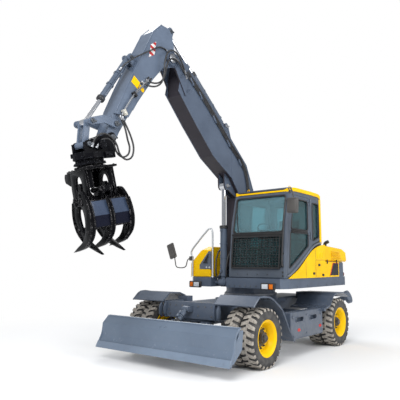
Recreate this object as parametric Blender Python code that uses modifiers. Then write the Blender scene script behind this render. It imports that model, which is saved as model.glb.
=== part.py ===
# Wheeled excavator with a front blade, rear stabilisers and a rotating log grapple.
# Metres, +Z up. The machine is laid out with Y = 0 at the front axle, front towards -Y,
# and +X on the cab's side. The root empty then moves the origin to the ground point
# under the middle of the whole machine.
import math

import bmesh
import bpy
from mathutils import Matrix, Vector

for old in list(bpy.data.objects):
    bpy.data.objects.remove(old, do_unlink=True)

# Driving dimensions
ORIGIN_X = -0.08
ORIGIN_Y = 0.60
WHEELBASE = 2.64
TYRE_R = 0.43
TYRE_W = 0.24
TWIN_GAP = 0.036
TRACK_OUT = 1.252
KINGPIN_X = 0.62
FRAME_HALF = 0.36
FRAME_BOTTOM = 0.59
FRAME_TOP = 0.88
FRAME_FRONT = -0.22
FRAME_REAR = 3.30
SLEW_Y = 1.50
RING_R = 0.45
RING_BASE = 0.985
DECK_BOTTOM = 1.085
DECK_TOP = 1.255
UPPER_HALF = 1.036
UPPER_FRONT = 0.90
UPPER_REAR = 3.45
BOOM_X = -0.30
BOOM_HALF = 0.15
BOOM_FOOT = (1.45, 1.50)
BOOM_TIP = (-0.60, 4.84)
ARM_HALF = 0.14
ARM_TIP_HALF = 0.11
ARM_TIP = (-1.80, 3.26)
GRAPPLE_TOP = (-2.06, 2.815)
GRAPPLE_TILT = math.radians(13)
GRAPPLE_TURN = math.radians(70)
CAB_IN = -0.10
CAB_OUT = 1.028
CAB_FRONT = 0.93
CAB_REAR = 2.39
CAB_ROOF = 2.82
CAB_WALL = 0.05
SEAT_GAP = 0.0003
RUN_GAP = 0.005
OVERRUN = 0.02

COLOURS = {
    "slate": ((0.16, 0.20, 0.27), 0.45, 0.0),
    "yellow": ((0.90, 0.62, 0.02), 0.35, 0.0),
    "black": ((0.02, 0.02, 0.022), 0.3, 0.0),
    "rubber": ((0.035, 0.035, 0.035), 0.85, 0.0),
    "chrome": ((0.7, 0.7, 0.72), 0.12, 1.0),
    "glass": ((0.25, 0.32, 0.35), 0.05, 0.0),
    "iron": ((0.12, 0.12, 0.13), 0.6, 0.4),
    "trim": ((0.05, 0.05, 0.055), 0.6, 0.0),
}

parts_collection = bpy.data.collections.new("wheeled_excavator")
cutter_collection = bpy.data.collections.new("cutters")
bpy.context.scene.collection.children.link(parts_collection)
bpy.context.scene.collection.children.link(cutter_collection)


def material(name):
    found = bpy.data.materials.get(name)
    if found:
        return found
    colour, rough, metal = COLOURS[name.rsplit("__", 1)[-1]]
    made = bpy.data.materials.new(name)
    made.use_nodes = True
    shader = made.node_tree.nodes["Principled BSDF"]
    shader.inputs["Base Color"].default_value = (*colour, 1.0)
    shader.inputs["Roughness"].default_value = rough
    shader.inputs["Metallic"].default_value = metal
    return made


# Work pieces: each helper gives an object that is later joined into a node
def work_object(mesh, matrix=None):
    piece = bpy.data.objects.new("work", mesh)
    piece.hide_render = True
    piece.display_type = "WIRE"
    if matrix is not None:
        mesh.transform(matrix)
    cutter_collection.objects.link(piece)
    return piece


def from_bmesh(shape, matrix=None):
    mesh = bpy.data.meshes.new("work")
    shape.to_mesh(mesh)
    shape.free()
    return work_object(mesh, matrix)


def baked(piece, outward=False):
    """The piece's evaluated mesh as a plain work object, with the first object removed.
    Outward turns the faces of a single skin to point out."""
    bpy.context.view_layer.update()
    graph = bpy.context.evaluated_depsgraph_get()
    mesh = bpy.data.meshes.new_from_object(piece.evaluated_get(graph))
    mesh.transform(piece.matrix_world)
    bpy.data.objects.remove(piece, do_unlink=True)
    weld = bmesh.new()
    weld.from_mesh(mesh)
    bmesh.ops.remove_doubles(weld, verts=weld.verts, dist=0.00001)
    bmesh.ops.dissolve_degenerate(weld, edges=weld.edges, dist=0.00001)
    if outward:
        bmesh.ops.recalc_face_normals(weld, faces=weld.faces)
    weld.to_mesh(mesh)
    weld.free()
    return work_object(mesh)


def box(xs, ys, zs, bevel=0.0, segments=1):
    shape = bmesh.new()
    bmesh.ops.create_cube(shape, size=1.0)
    size = (xs[1] - xs[0], ys[1] - ys[0], zs[1] - zs[0])
    middle = ((xs[1] + xs[0]) / 2, (ys[1] + ys[0]) / 2, (zs[1] + zs[0]) / 2)
    bmesh.ops.scale(shape, vec=size, verts=shape.verts)
    bmesh.ops.translate(shape, vec=middle, verts=shape.verts)
    piece = from_bmesh(shape)
    if bevel:
        return bevelled(piece, bevel, segments)
    return piece


def bevelled(piece, width, segments=1, angle=40):
    edge = piece.modifiers.new("rounded", "BEVEL")
    edge.width = width
    edge.segments = segments
    edge.limit_method = "ANGLE"
    edge.angle_limit = math.radians(angle)
    return baked(piece)


def rod(start, end, radius, sides=16, end_radius=None):
    """A round bar from start to end, or a cone where end_radius is given."""
    start, end = Vector(start), Vector(end)
    along = end - start
    shape = bmesh.new()
    far = radius if end_radius is None else end_radius
    bmesh.ops.create_cone(shape, cap_ends=True, segments=sides, radius1=radius,
                          radius2=far, depth=along.length)
    half_step = Matrix.Rotation(math.pi / sides, 4, "Z")
    turn = along.to_track_quat("Z", "X").to_matrix().to_4x4()
    place = Matrix.Translation((start + end) / 2) @ turn @ half_step
    return from_bmesh(shape, place)


AXES = {
    "X": Matrix(((0, 0, 1, 0), (1, 0, 0, 0), (0, 1, 0, 0), (0, 0, 0, 1))),
    "Y": Matrix(((1, 0, 0, 0), (0, 0, -1, 0), (0, 1, 0, 0), (0, 0, 0, 1))),
    "Z": Matrix.Identity(4),
}


def plate(axis, outline, low, high, holes=(), bevel=0.0):
    """A flat outline across the axis, as thick as low to high. Outline pairs are
    (Y, Z) for X, (X, Z) for Y and (X, Y) for Z; along Y low and high are -Y."""
    curve = bpy.data.curves.new("work", "CURVE")
    curve.dimensions = "2D"
    curve.fill_mode = "BOTH"
    curve.extrude = (high - low) / 2 - bevel
    curve.bevel_depth = bevel
    curve.bevel_resolution = 0
    curve.offset = -bevel
    for loop in (outline, *holes):
        spline = curve.splines.new("POLY")
        spline.points.add(len(loop) - 1)
        for point, (across, up) in zip(spline.points, loop):
            point.co = (across, up, 0.0, 1.0)
        spline.use_cyclic_u = True
    piece = bpy.data.objects.new("work", curve)
    cutter_collection.objects.link(piece)
    piece.matrix_world = AXES[axis] @ Matrix.Translation((0, 0, (low + high) / 2))
    return baked(piece, outward=True)


def arc(centre, radius, first, last, count):
    """Points on an arc in degrees, first and last included."""
    steps = [math.radians(first + (last - first) * k / (count - 1)) for k in range(count)]
    return [(centre[0] + radius * math.cos(a), centre[1] + radius * math.sin(a)) for a in steps]


def ring_hole(centre, radius, count=12):
    return arc(centre, radius, 0, 360 - 360 / count, count)


def turned(profile, steps, matrix):
    """A closed turned solid. Profile pairs are (radius, height), top to bottom."""
    shape = bmesh.new()
    points = [shape.verts.new((radius, 0, height)) for radius, height in profile]
    for upper, lower in zip(points, points[1:]):
        shape.edges.new((upper, lower))
    piece = from_bmesh(shape)
    spin = piece.modifiers.new("turned", "SCREW")
    spin.axis = "Z"
    spin.steps = steps
    spin.render_steps = steps
    spin.use_merge_vertices = True
    spin.merge_threshold = 0.0001
    piece = baked(piece, outward=True)
    half_step = Matrix.Rotation(math.pi / steps, 4, "Z")
    piece.data.transform(matrix @ half_step)
    return piece


def tube(points, radius, resolution=1):
    """A bent round bar through the points."""
    curve = bpy.data.curves.new("work", "CURVE")
    curve.dimensions = "3D"
    curve.bevel_depth = radius
    curve.bevel_resolution = resolution
    curve.use_fill_caps = True
    spline = curve.splines.new("POLY")
    spline.points.add(len(points) - 1)
    for point, place in zip(spline.points, points):
        point.co = (*place, 1.0)
    piece = bpy.data.objects.new("work", curve)
    cutter_collection.objects.link(piece)
    return baked(piece, outward=True)


def moved(piece, matrix):
    piece.data.transform(matrix)
    return piece


def mirrored(piece):
    """A mirror image of the piece across X = 0, and the piece itself, as two solids."""
    twin = work_object(piece.data.copy())
    flip = Matrix.Scale(-1, 4, Vector((1, 0, 0)))
    twin.data.transform(flip)
    twin.data.flip_normals()
    return twin


def fused(pieces, cuts=()):
    """The pieces as one body, less the cuts."""
    base = pieces[0]
    tools = [(piece, "UNION") for piece in pieces[1:]] + [(cut, "DIFFERENCE") for cut in cuts]
    for tool, operation in tools:
        step = base.modifiers.new("joined", "BOOLEAN")
        step.operation = operation
        step.solver = "EXACT"
        step.object = tool
        base = baked(base)
        bpy.data.objects.remove(tool, do_unlink=True)
    return base


root = bpy.data.objects.new("machine_origin", None)
parts_collection.objects.link(root)
root.location = (-ORIGIN_X, -ORIGIN_Y, 0.0)
BODY_PLACES = {"root": Matrix.Identity(4)}
BODY_EMPTIES = {"root": root}


def body(name, parent, place):
    """An empty on the joint's axis. Place is a point or a matrix in the machine's layout."""
    matrix = place if isinstance(place, Matrix) else Matrix.Translation(place)
    pivot = bpy.data.objects.new(name + "_pivot", None)
    parts_collection.objects.link(pivot)
    pivot.parent = BODY_EMPTIES[parent]
    pivot.matrix_local = BODY_PLACES[parent].inverted() @ matrix
    BODY_PLACES[name] = matrix
    BODY_EMPTIES[name] = pivot


def node(name, piece, colour, body_name, layout=None, smooth=True):
    """The work piece becomes the named part of its body."""
    mesh = piece.data
    mesh.name = name
    if layout is not None:
        mesh.transform(layout)
    mesh.transform(BODY_PLACES[body_name].inverted())
    made = bpy.data.objects.new(name, mesh)
    parts_collection.objects.link(made)
    made.parent = BODY_EMPTIES[body_name]
    mesh.materials.clear()
    mesh.materials.append(material(name + "__" + colour))
    if smooth:
        mesh.shade_smooth()
        mesh.set_sharp_from_angle(angle=math.radians(35))
    bpy.data.objects.remove(piece, do_unlink=True)
    return made


def yz(point, x=0.0):
    return (x, point[0], point[1])


# Wheels: two tyres on one rim and hub, turned as one solid
WHEEL_STEPS = 24
ROUND_R = TYRE_R / math.cos(math.pi / WHEEL_STEPS)
RIM_R = 0.245
BEAD_R = 0.262
HUB_R = 0.12
HUB_OUT = 0.03
DISH_IN = 0.13
DISH_R = 0.19
DRUM_FACE = 0.02
DRUM_R = 0.185
SHOULDER = 0.04
SIDE_BULGE = 0.008


def tyre_profile(top, bottom):
    """One tyre's outline from its upper bead to its lower bead."""
    mid_r = (BEAD_R + TYRE_R) / 2
    return [
        (BEAD_R, top - SIDE_BULGE),
        (mid_r, top),
        (ROUND_R - SHOULDER / 2, top - SIDE_BULGE),
        (ROUND_R, top - SHOULDER),
        (ROUND_R, bottom + SHOULDER),
        (ROUND_R - SHOULDER / 2, bottom + SIDE_BULGE),
        (mid_r, bottom),
        (BEAD_R, bottom + SIDE_BULGE),
    ]


def twin_wheel(name, side, axle_y):
    outer = TRACK_OUT
    inner = TRACK_OUT - 2 * TYRE_W - TWIN_GAP
    profile = [
        (0.0, outer - HUB_OUT),
        (HUB_R, outer - HUB_OUT),
        (HUB_R, outer - DISH_IN),
        (DISH_R, outer - DISH_IN),
        (RIM_R, outer - HUB_OUT),
    ]
    profile += tyre_profile(outer, outer - TYRE_W)
    profile += [(RIM_R, outer - TYRE_W - TWIN_GAP / 2)]
    profile += tyre_profile(inner + TYRE_W, inner)
    profile += [(DRUM_R, inner + DRUM_FACE), (DRUM_R, inner), (0.0, inner)]
    turn = Matrix.Rotation(side * math.pi / 2, 4, "Y")
    place = Matrix.Translation((0.0, axle_y, TYRE_R)) @ turn
    piece = turned(profile, WHEEL_STEPS, place)
    node(name, piece, "rubber", name)


WHEEL_IN = TRACK_OUT - 2 * TYRE_W - TWIN_GAP
WHEEL_MID = WHEEL_IN + TYRE_W + TWIN_GAP / 2
SIDES = (("left", 1), ("right", -1))
for side_name, side in SIDES:
    body("knuckle_" + side_name, "root", (side * KINGPIN_X, 0.0, TYRE_R))
    body("wheel_front_" + side_name, "knuckle_" + side_name, (side * WHEEL_MID, 0.0, TYRE_R))
    body("wheel_rear_" + side_name, "root", (side * WHEEL_MID, WHEELBASE, TYRE_R))
    twin_wheel("wheel_front_" + side_name, side, 0.0)
    twin_wheel("wheel_rear_" + side_name, side, WHEELBASE)

# Axles and steering knuckles
AXLE_R = 0.10
DIFF_R = 0.15
DIFF_W = 0.17
YOKE_T = 0.03
YOKE_HALF_H = 0.13
YOKE_R = 0.07
KNUCKLE_R = 0.055
HUB_CARRIER_R = 0.125
AXLE_MOUNT_HALF = 0.14
AXLE_MOUNT_W = 0.10


def front_axle():
    beam_end = KINGPIN_X - YOKE_R - YOKE_T
    pieces = [
        box((-beam_end, beam_end), (-AXLE_R, AXLE_R), (TYRE_R - AXLE_R, TYRE_R + AXLE_R), YOKE_T),
        rod((0, -DIFF_W, TYRE_R), (0, DIFF_W, TYRE_R), DIFF_R, 20),
        box((-AXLE_MOUNT_HALF, AXLE_MOUNT_HALF), (-AXLE_MOUNT_W, AXLE_MOUNT_W),
            (TYRE_R, FRAME_BOTTOM - SEAT_GAP)),
    ]
    for _, side in SIDES:
        near, far = side * (beam_end - YOKE_T), side * KINGPIN_X
        for low, high in ((-YOKE_HALF_H - YOKE_T, -YOKE_HALF_H), (YOKE_HALF_H, YOKE_HALF_H + YOKE_T)):
            zs = (TYRE_R + low, TYRE_R + high)
            pieces.append(box(tuple(sorted((near, far))), (-YOKE_R, YOKE_R), zs))
            pieces.append(rod((far, 0, zs[0]), (far, 0, zs[1]), YOKE_R, 16))
        pieces.append(box(tuple(sorted((near - side * YOKE_T, near + side * YOKE_T))), (-YOKE_R, YOKE_R),
                          (TYRE_R - YOKE_HALF_H - YOKE_T, TYRE_R + YOKE_HALF_H + YOKE_T)))
    node("front_axle", fused(pieces), "iron", "root")


def rear_axle():
    reach = WHEEL_IN - SEAT_GAP
    pieces = [
        rod((-reach, WHEELBASE, TYRE_R), (reach, WHEELBASE, TYRE_R), AXLE_R, 16),
        rod((0, WHEELBASE - DIFF_W, TYRE_R), (0, WHEELBASE + DIFF_W, TYRE_R), DIFF_R, 20),
        box((-AXLE_MOUNT_HALF, AXLE_MOUNT_HALF), (WHEELBASE - AXLE_MOUNT_W, WHEELBASE + AXLE_MOUNT_W),
            (TYRE_R, FRAME_BOTTOM - SEAT_GAP)),
    ]
    for _, side in SIDES:
        drum = (side * (reach - HUB_CARRIER_R / 2), side * reach)
        pieces.append(rod((drum[0], WHEELBASE, TYRE_R), (drum[1], WHEELBASE, TYRE_R), HUB_CARRIER_R, 20))
    node("rear_axle", fused(pieces), "iron", "root")


def knuckle(side_name, side):
    half = YOKE_HALF_H - SEAT_GAP
    centre = side * KINGPIN_X
    face = side * (WHEEL_IN - SEAT_GAP)
    back = side * (KINGPIN_X + YOKE_R + RUN_GAP)
    pieces = [
        rod((centre, 0, TYRE_R - half), (centre, 0, TYRE_R + half), KNUCKLE_R, 16),
        rod((centre, 0, TYRE_R), ((back + face) / 2, 0, TYRE_R), KNUCKLE_R * 0.9, 16),
        rod((back, 0, TYRE_R), (face, 0, TYRE_R), HUB_CARRIER_R, 20),
    ]
    node("knuckle_" + side_name, fused(pieces), "iron", "knuckle_" + side_name)


front_axle()
rear_axle()
for side_name, side in SIDES:
    knuckle(side_name, side)

# Chassis frame: box beam with a turntable pedestal, a front bracket and rear stabiliser mounts
PEDESTAL_R = 0.50
PEDESTAL_LOW_HALF = 0.46
HORN_IN = 0.40
HORN_OUT = 0.56
HORN_TOP = 0.90
HORN_BACK = 0.06
HORN_THICK = 0.04
BLADE_PIVOT = (-0.36, 0.44)
BLADE_LUG_X = 0.30
BLADE_LUG_T = 0.03
BLADE_EYE_HALF = 0.035
BLADE_EYE_R = 0.06
LIFT_FOOT = (-0.35, 0.80)
LIFT_EYE_HALF = 0.03
LIFT_EYE_R = 0.045
OUTRIGGER_X = 0.46
OUTRIGGER_PIVOT_Z = 0.62
OUTRIGGER_Y = (3.42, 3.60)
REAR_BEAM_HALF = 0.52


def eye_lugs(x, pin, half, thick, reach, root_y, root_z, radius):
    """Two lug plates beside an eye, running from the pin's boss to a root rectangle."""
    made = []
    for side in (-1, 1):
        near = x + side * (half + SEAT_GAP)
        far = near + side * thick
        low, high = min(near, far), max(near, far)
        towards = math.degrees(math.atan2(pin[1] - root_z, pin[0] - root_y))
        outline = arc(pin, radius, towards - 90, towards + 90, 8)
        back = (math.cos(math.radians(towards)) * reach, math.sin(math.radians(towards)) * reach)
        across = (-math.sin(math.radians(towards)) * radius, math.cos(math.radians(towards)) * radius)
        outline += [(pin[0] - back[0] + across[0], pin[1] - back[1] + across[1]),
                    (pin[0] - back[0] - across[0], pin[1] - back[1] - across[1])]
        made.append(plate("X", outline, low, high))
        cap_far = far + side * thick / 2
        made.append(rod((near + side * thick / 4, *pin), (cap_far, *pin), radius / 2, 12))
    return made


def chassis_frame():
    pieces = [
        box((-FRAME_HALF, FRAME_HALF), (FRAME_FRONT, FRAME_REAR), (FRAME_BOTTOM, FRAME_TOP), YOKE_T),
        turned([(0, RING_BASE - SEAT_GAP), (RING_R, RING_BASE - SEAT_GAP), (PEDESTAL_R, FRAME_TOP),
                (PEDESTAL_R, FRAME_TOP - OVERRUN), (0, FRAME_TOP - OVERRUN)], 32,
               Matrix.Translation((0, SLEW_Y, 0))),
        box((-PEDESTAL_LOW_HALF, PEDESTAL_LOW_HALF), (SLEW_Y - PEDESTAL_R, SLEW_Y + PEDESTAL_R),
            (FRAME_TOP - 3 * YOKE_T, FRAME_TOP + OVERRUN / 2), YOKE_T / 2),
        box((-HORN_OUT, HORN_OUT), (FRAME_FRONT - HORN_THICK, FRAME_FRONT + OVERRUN),
            (FRAME_BOTTOM + HORN_BACK, HORN_TOP)),
        box((-REAR_BEAM_HALF, REAR_BEAM_HALF), (FRAME_REAR - OVERRUN, OUTRIGGER_Y[0] - 2 * SEAT_GAP),
            (FRAME_BOTTOM, FRAME_TOP - HORN_BACK)),
    ]
    for side in (-1, 1):
        xs = tuple(sorted((side * HORN_IN, side * HORN_OUT)))
        pieces.append(box(xs, (FRAME_FRONT - HORN_THICK, HORN_BACK), (HORN_TOP - HORN_BACK, HORN_TOP)))
        for lug in eye_lugs(side * BLADE_LUG_X, BLADE_PIVOT, BLADE_EYE_HALF, BLADE_LUG_T,
                            BLADE_EYE_R + 3 * HORN_THICK, FRAME_FRONT, FRAME_BOTTOM, BLADE_EYE_R):
            pieces.append(lug)
        pieces.append(box((side * BLADE_LUG_X - 3 * BLADE_LUG_T, side * BLADE_LUG_X + 3 * BLADE_LUG_T),
                          (FRAME_FRONT - HORN_THICK, FRAME_FRONT + HORN_BACK),
                          (BLADE_PIVOT[1], FRAME_BOTTOM + OVERRUN)))
    pieces += eye_lugs(0.0, LIFT_FOOT, LIFT_EYE_HALF, BLADE_LUG_T, 3 * HORN_THICK, FRAME_FRONT,
                       LIFT_FOOT[1], LIFT_EYE_R)
    for side in (-1, 1):
        for y in (OUTRIGGER_Y[0] - SEAT_GAP - BLADE_LUG_T, OUTRIGGER_Y[1] + SEAT_GAP):
            centre = (side * OUTRIGGER_X, OUTRIGGER_PIVOT_Z)
            outline = arc(centre, BLADE_EYE_R, -90, 90, 8) if side > 0 else arc(centre, BLADE_EYE_R, 90, 270, 8)
            inner = side * (OUTRIGGER_X - 4 * BLADE_EYE_R)
            outline += [(inner, centre[1] + side * BLADE_EYE_R), (inner, centre[1] - side * BLADE_EYE_R)]
            pieces.append(plate("Y", outline, -y - BLADE_LUG_T, -y))
    pieces.append(box((-OUTRIGGER_X + 2 * BLADE_EYE_R, OUTRIGGER_X - 2 * BLADE_EYE_R),
                      (OUTRIGGER_Y[0] - BLADE_LUG_T, OUTRIGGER_Y[1] + BLADE_LUG_T),
                      (OUTRIGGER_PIVOT_Z - BLADE_EYE_R, OUTRIGGER_PIVOT_Z + BLADE_EYE_R)))
    node("chassis_frame", fused(pieces), "slate", "root")


chassis_frame()

# Front fenders with the steps behind them, and rear fenders, one pressed piece a side
FENDER_IN = 0.52
FENDER_OUT = 1.22
FENDER_T = 0.02
FRONT_FENDER = ((-0.33, 0.90), (-0.16, 1.03), (0.10, 1.02), (0.24, 0.97), (0.50, 0.80), (0.70, 0.50),
                (0.86, 0.30))
STEP_Y = (0.86, 2.05)
STEP_Z = (0.30, 0.72)
STEP_IN = 1.00
STEP_OUT = 1.16
REAR_FENDER = ((2.05, 0.72), (2.26, 0.76), (2.42, 0.92), (2.60, 0.97), (2.90, 0.97), (3.20, 0.88))
BRACKET_T = 0.05
BRACKET_IN = FRAME_HALF + SEAT_GAP
SLOT_Y = ((1.02, 1.30), (1.52, 1.80))
SLOT_Z = (0.56, 0.64)


def strip(points, thickness):
    """A closed outline that follows the points, thickness below them."""
    under = []
    for k, point in enumerate(points):
        before = points[max(k - 1, 0)]
        after = points[min(k + 1, len(points) - 1)]
        run, rise = after[0] - before[0], after[1] - before[1]
        length = math.hypot(run, rise)
        under.append((point[0] + thickness * rise / length, point[1] - thickness * run / length))
    return list(points) + under[::-1]


def side_step(side_name, side):
    def across(a, b):
        return tuple(sorted((side * a, side * b)))
    wide = across(FENDER_IN, FENDER_OUT)
    wing = across(STEP_IN - 2 * BRACKET_T, FENDER_OUT)
    step = across(STEP_IN, STEP_OUT)
    pieces = [
        plate("X", strip(FRONT_FENDER, FENDER_T), *wide),
        plate("X", strip(REAR_FENDER, FENDER_T), *wide),
        box(step, STEP_Y, STEP_Z, FENDER_T / 2),
        box(across(BRACKET_IN, FENDER_OUT - BRACKET_T), (STEP_Y[0] + BRACKET_T, STEP_Y[0] + 2 * BRACKET_T),
            (STEP_Z[1] - 2 * BRACKET_T, STEP_Z[1] - BRACKET_T)),
        box(across(BRACKET_IN, FENDER_OUT - BRACKET_T), (STEP_Y[1] - 2 * BRACKET_T, STEP_Y[1] - BRACKET_T),
            (STEP_Z[1] - 2 * BRACKET_T, STEP_Z[1] - BRACKET_T)),
        box(across(BRACKET_IN, FENDER_IN + BRACKET_T), (FRONT_FENDER[2][0], FRONT_FENDER[3][0]),
            (FRAME_TOP - BRACKET_T, FRONT_FENDER[3][1] - FENDER_T / 2), 0),
        box(across(BRACKET_IN, FENDER_IN + BRACKET_T), (REAR_FENDER[3][0], REAR_FENDER[4][0]),
            (FRAME_TOP - BRACKET_T, REAR_FENDER[3][1] - FENDER_T / 2), 0),
        box(wing, (STEP_Y[1] - BRACKET_T, STEP_Y[1] + FENDER_T), (STEP_Z[1] - BRACKET_T, STEP_Z[1])),
        box(wing, (STEP_Y[0] - FENDER_T / 2, STEP_Y[0] + BRACKET_T), (STEP_Z[0], STEP_Z[0] + BRACKET_T)),
    ]
    cuts = [box(across(STEP_OUT - BRACKET_T, STEP_OUT + OVERRUN), ys, SLOT_Z) for ys in SLOT_Y]
    node("side_step_" + side_name, fused(pieces, cuts), "slate", "root", smooth=False)


for side_name, side in SIDES:
    side_step(side_name, side)

# Hydraulic cylinders: a bored barrel with a foot eye, and a rod with its own eye
CYLINDER_WALL = 0.012
BORE_GAP = 0.0006
GLAND_LENGTH = 0.05
GLAND_LIP = 0.008


def cylinder_sides(start, end):
    start, end = Vector(start), Vector(end)
    return start, end, (end - start).normalized()


def barrel(name, foot, gland, radius, rod_r, eye_r, eye_half, bore_depth, body_name, layout=None,
           colour="slate", across=(1, 0, 0), sides=20):
    """A barrel from its foot eye to its gland, bored for the rod."""
    start, end, along = cylinder_sides(foot, gland)
    length = (end - start).length
    turn = along.to_track_quat("Z", "X").to_matrix().to_4x4()
    place = Matrix.Translation(start) @ turn
    bore = rod_r + BORE_GAP
    gland_start = length - GLAND_LENGTH
    neck = eye_half * 0.9
    profile = [(bore, length), (radius, length), (radius, gland_start),
               (radius - GLAND_LIP, gland_start - GLAND_LIP), (radius - GLAND_LIP, eye_r * 1.6),
               (neck, eye_r * 1.25), (neck, eye_r * 0.6), (0, eye_r * 0.6), (0, length - bore_depth - rod_r),
               (bore, length - bore_depth)]
    tube_piece = turned_open(profile, sides, place)
    side_way = Vector(across) * (eye_half - SEAT_GAP)
    eye = rod(start - side_way, start + side_way, eye_r, 16)
    node(name, fused([tube_piece, eye]), colour, body_name, layout)


def turned_open(profile, steps, matrix):
    """A turned solid whose profile is a closed loop that may touch the axis."""
    shape = bmesh.new()
    points = [shape.verts.new((radius, 0, height)) for radius, height in profile]
    for first, second in zip(points, points[1:]):
        if first.co.x > 0 or second.co.x > 0:
            shape.edges.new((first, second))
    shape.edges.new((points[-1], points[0]))
    piece = from_bmesh(shape)
    spin = piece.modifiers.new("turned", "SCREW")
    spin.axis = "Z"
    spin.steps = steps
    spin.render_steps = steps
    spin.use_merge_vertices = True
    spin.merge_threshold = 0.0001
    piece = baked(piece, outward=True)
    piece.data.transform(matrix @ Matrix.Rotation(math.pi / steps, 4, "Z"))
    return piece


def cylinder_rod(name, inner, eye_at, rod_r, eye_r, eye_half, body_name, layout=None,
                 across=(1, 0, 0), sides=20):
    """A chromed rod from inside the barrel to its eye."""
    start, end, along = cylinder_sides(inner, eye_at)
    side_way = Vector(across) * (eye_half - SEAT_GAP)
    bar = rod(start, end - along * eye_r * 0.5, rod_r, sides)
    eye = rod(end - side_way, end + side_way, eye_r, 16)
    node(name, fused([bar, eye]), "chrome", body_name, layout)


def along_way(start, end, distance):
    start, end = Vector(start), Vector(end)
    return start + (end - start).normalized() * distance


# Blade: a curved mouldboard on two arms, lifted by one cylinder
BLADE_HALF = 1.30
BLADE_TOP = (-0.80, 0.655)
BLADE_CREASE = (-0.93, 0.37)
BLADE_BOTTOM = (-1.03, 0.18)
BLADE_T = 0.035
EDGE_T = 0.02
BLADE_ARM_W = 0.09
LIFT_PIN = (-0.70, 0.52)
LIFT_R = 0.05
LIFT_ROD_R = 0.025
body("blade", "root", (0.0, *BLADE_PIVOT))
body("blade_barrel", "root", (0.0, *LIFT_FOOT))
body("blade_rod", "blade_barrel", (0.0, *LIFT_PIN))


def blade():
    face = [BLADE_TOP, (BLADE_CREASE[0] + BLADE_T / 2, (BLADE_TOP[1] + BLADE_CREASE[1]) / 2 + BLADE_T),
            BLADE_CREASE, BLADE_BOTTOM]
    back = [(y + BLADE_T, z + BLADE_T / 4) for y, z in face]
    pieces = [plate("X", face + back[::-1], -BLADE_HALF, BLADE_HALF)]
    rib_back = BLADE_TOP[0] + 2 * BLADE_T
    rib = [(BLADE_TOP[0] + BLADE_T / 2, BLADE_TOP[1] - BLADE_T), (rib_back + BLADE_T, BLADE_TOP[1] - BLADE_T),
           (rib_back, BLADE_CREASE[1]), (BLADE_BOTTOM[0] + 3 * BLADE_T, BLADE_BOTTOM[1] + BLADE_T),
           (BLADE_BOTTOM[0] + BLADE_T / 2, BLADE_BOTTOM[1] + BLADE_T), (BLADE_CREASE[0] + BLADE_T / 2, BLADE_CREASE[1])]
    for x in (-BLADE_HALF + BLADE_T, -BLADE_LUG_X, BLADE_LUG_X, BLADE_HALF - BLADE_T):
        pieces.append(plate("X", rib, x - BLADE_T / 2, x + BLADE_T / 2))
    for side in (-1, 1):
        x = side * BLADE_LUG_X
        half = BLADE_EYE_HALF
        arm = [(BLADE_PIVOT[0], BLADE_PIVOT[1] + BLADE_EYE_R * 0.9),
               (BLADE_PIVOT[0], BLADE_PIVOT[1] - BLADE_EYE_R * 0.9),
               (BLADE_CREASE[0] + BLADE_T / 2, BLADE_CREASE[1] - BLADE_ARM_W),
               (BLADE_CREASE[0] + BLADE_T, BLADE_CREASE[1] + BLADE_ARM_W)]
        pieces.append(plate("X", arm, x - half, x + half))
        pieces.append(rod((x - half, *BLADE_PIVOT), (x + half, *BLADE_PIVOT), BLADE_EYE_R, 16))
    pieces.append(box((-BLADE_LUG_X, BLADE_LUG_X), (rib_back, rib_back + BLADE_ARM_W),
                      (BLADE_CREASE[1] - BLADE_T, BLADE_CREASE[1] + BLADE_T)))
    for side in (-1, 1):
        near = side * (LIFT_EYE_HALF + SEAT_GAP)
        xs = tuple(sorted((near, near + side * BLADE_T)))
        outline = arc(LIFT_PIN, LIFT_EYE_R, -45, 135, 8) + [
            (BLADE_CREASE[0] + BLADE_T, BLADE_TOP[1] - 2 * BLADE_T), (BLADE_CREASE[0] + BLADE_T, BLADE_CREASE[1])]
        pieces.append(plate("X", outline, *xs))
    node("blade", fused(pieces), "slate", "blade", smooth=False)
    edge = [(BLADE_BOTTOM[0], BLADE_BOTTOM[1] - SEAT_GAP), (BLADE_BOTTOM[0] + EDGE_T, BLADE_BOTTOM[1] - SEAT_GAP),
            (BLADE_BOTTOM[0] + EDGE_T / 2, BLADE_BOTTOM[1] - 4 * EDGE_T),
            (BLADE_BOTTOM[0] - EDGE_T / 2, BLADE_BOTTOM[1] - 4 * EDGE_T)]
    return edge


def blade_cylinder():
    gland = along_way((0, *LIFT_FOOT), (0, *LIFT_PIN), 0.30)
    inner = along_way((0, *LIFT_FOOT), (0, *LIFT_PIN), 0.14)
    barrel("blade_barrel", (0, *LIFT_FOOT), gland, LIFT_R, LIFT_ROD_R, LIFT_EYE_R, LIFT_EYE_HALF, 0.24,
           "blade_barrel")
    cylinder_rod("blade_rod", inner, (0, *LIFT_PIN), LIFT_ROD_R, LIFT_EYE_R, LIFT_EYE_HALF, "blade_rod")


blade()
blade_cylinder()

# Rear stabilisers: channel legs folded up beside the rear corners, each with a round foot
LEG_LENGTH = 0.64
LEG_W = 0.12
LEG_FOLD = math.radians(20)
LEG_GAP = 0.003
FOOT_R = 0.13
FOOT_T = 0.03


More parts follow.
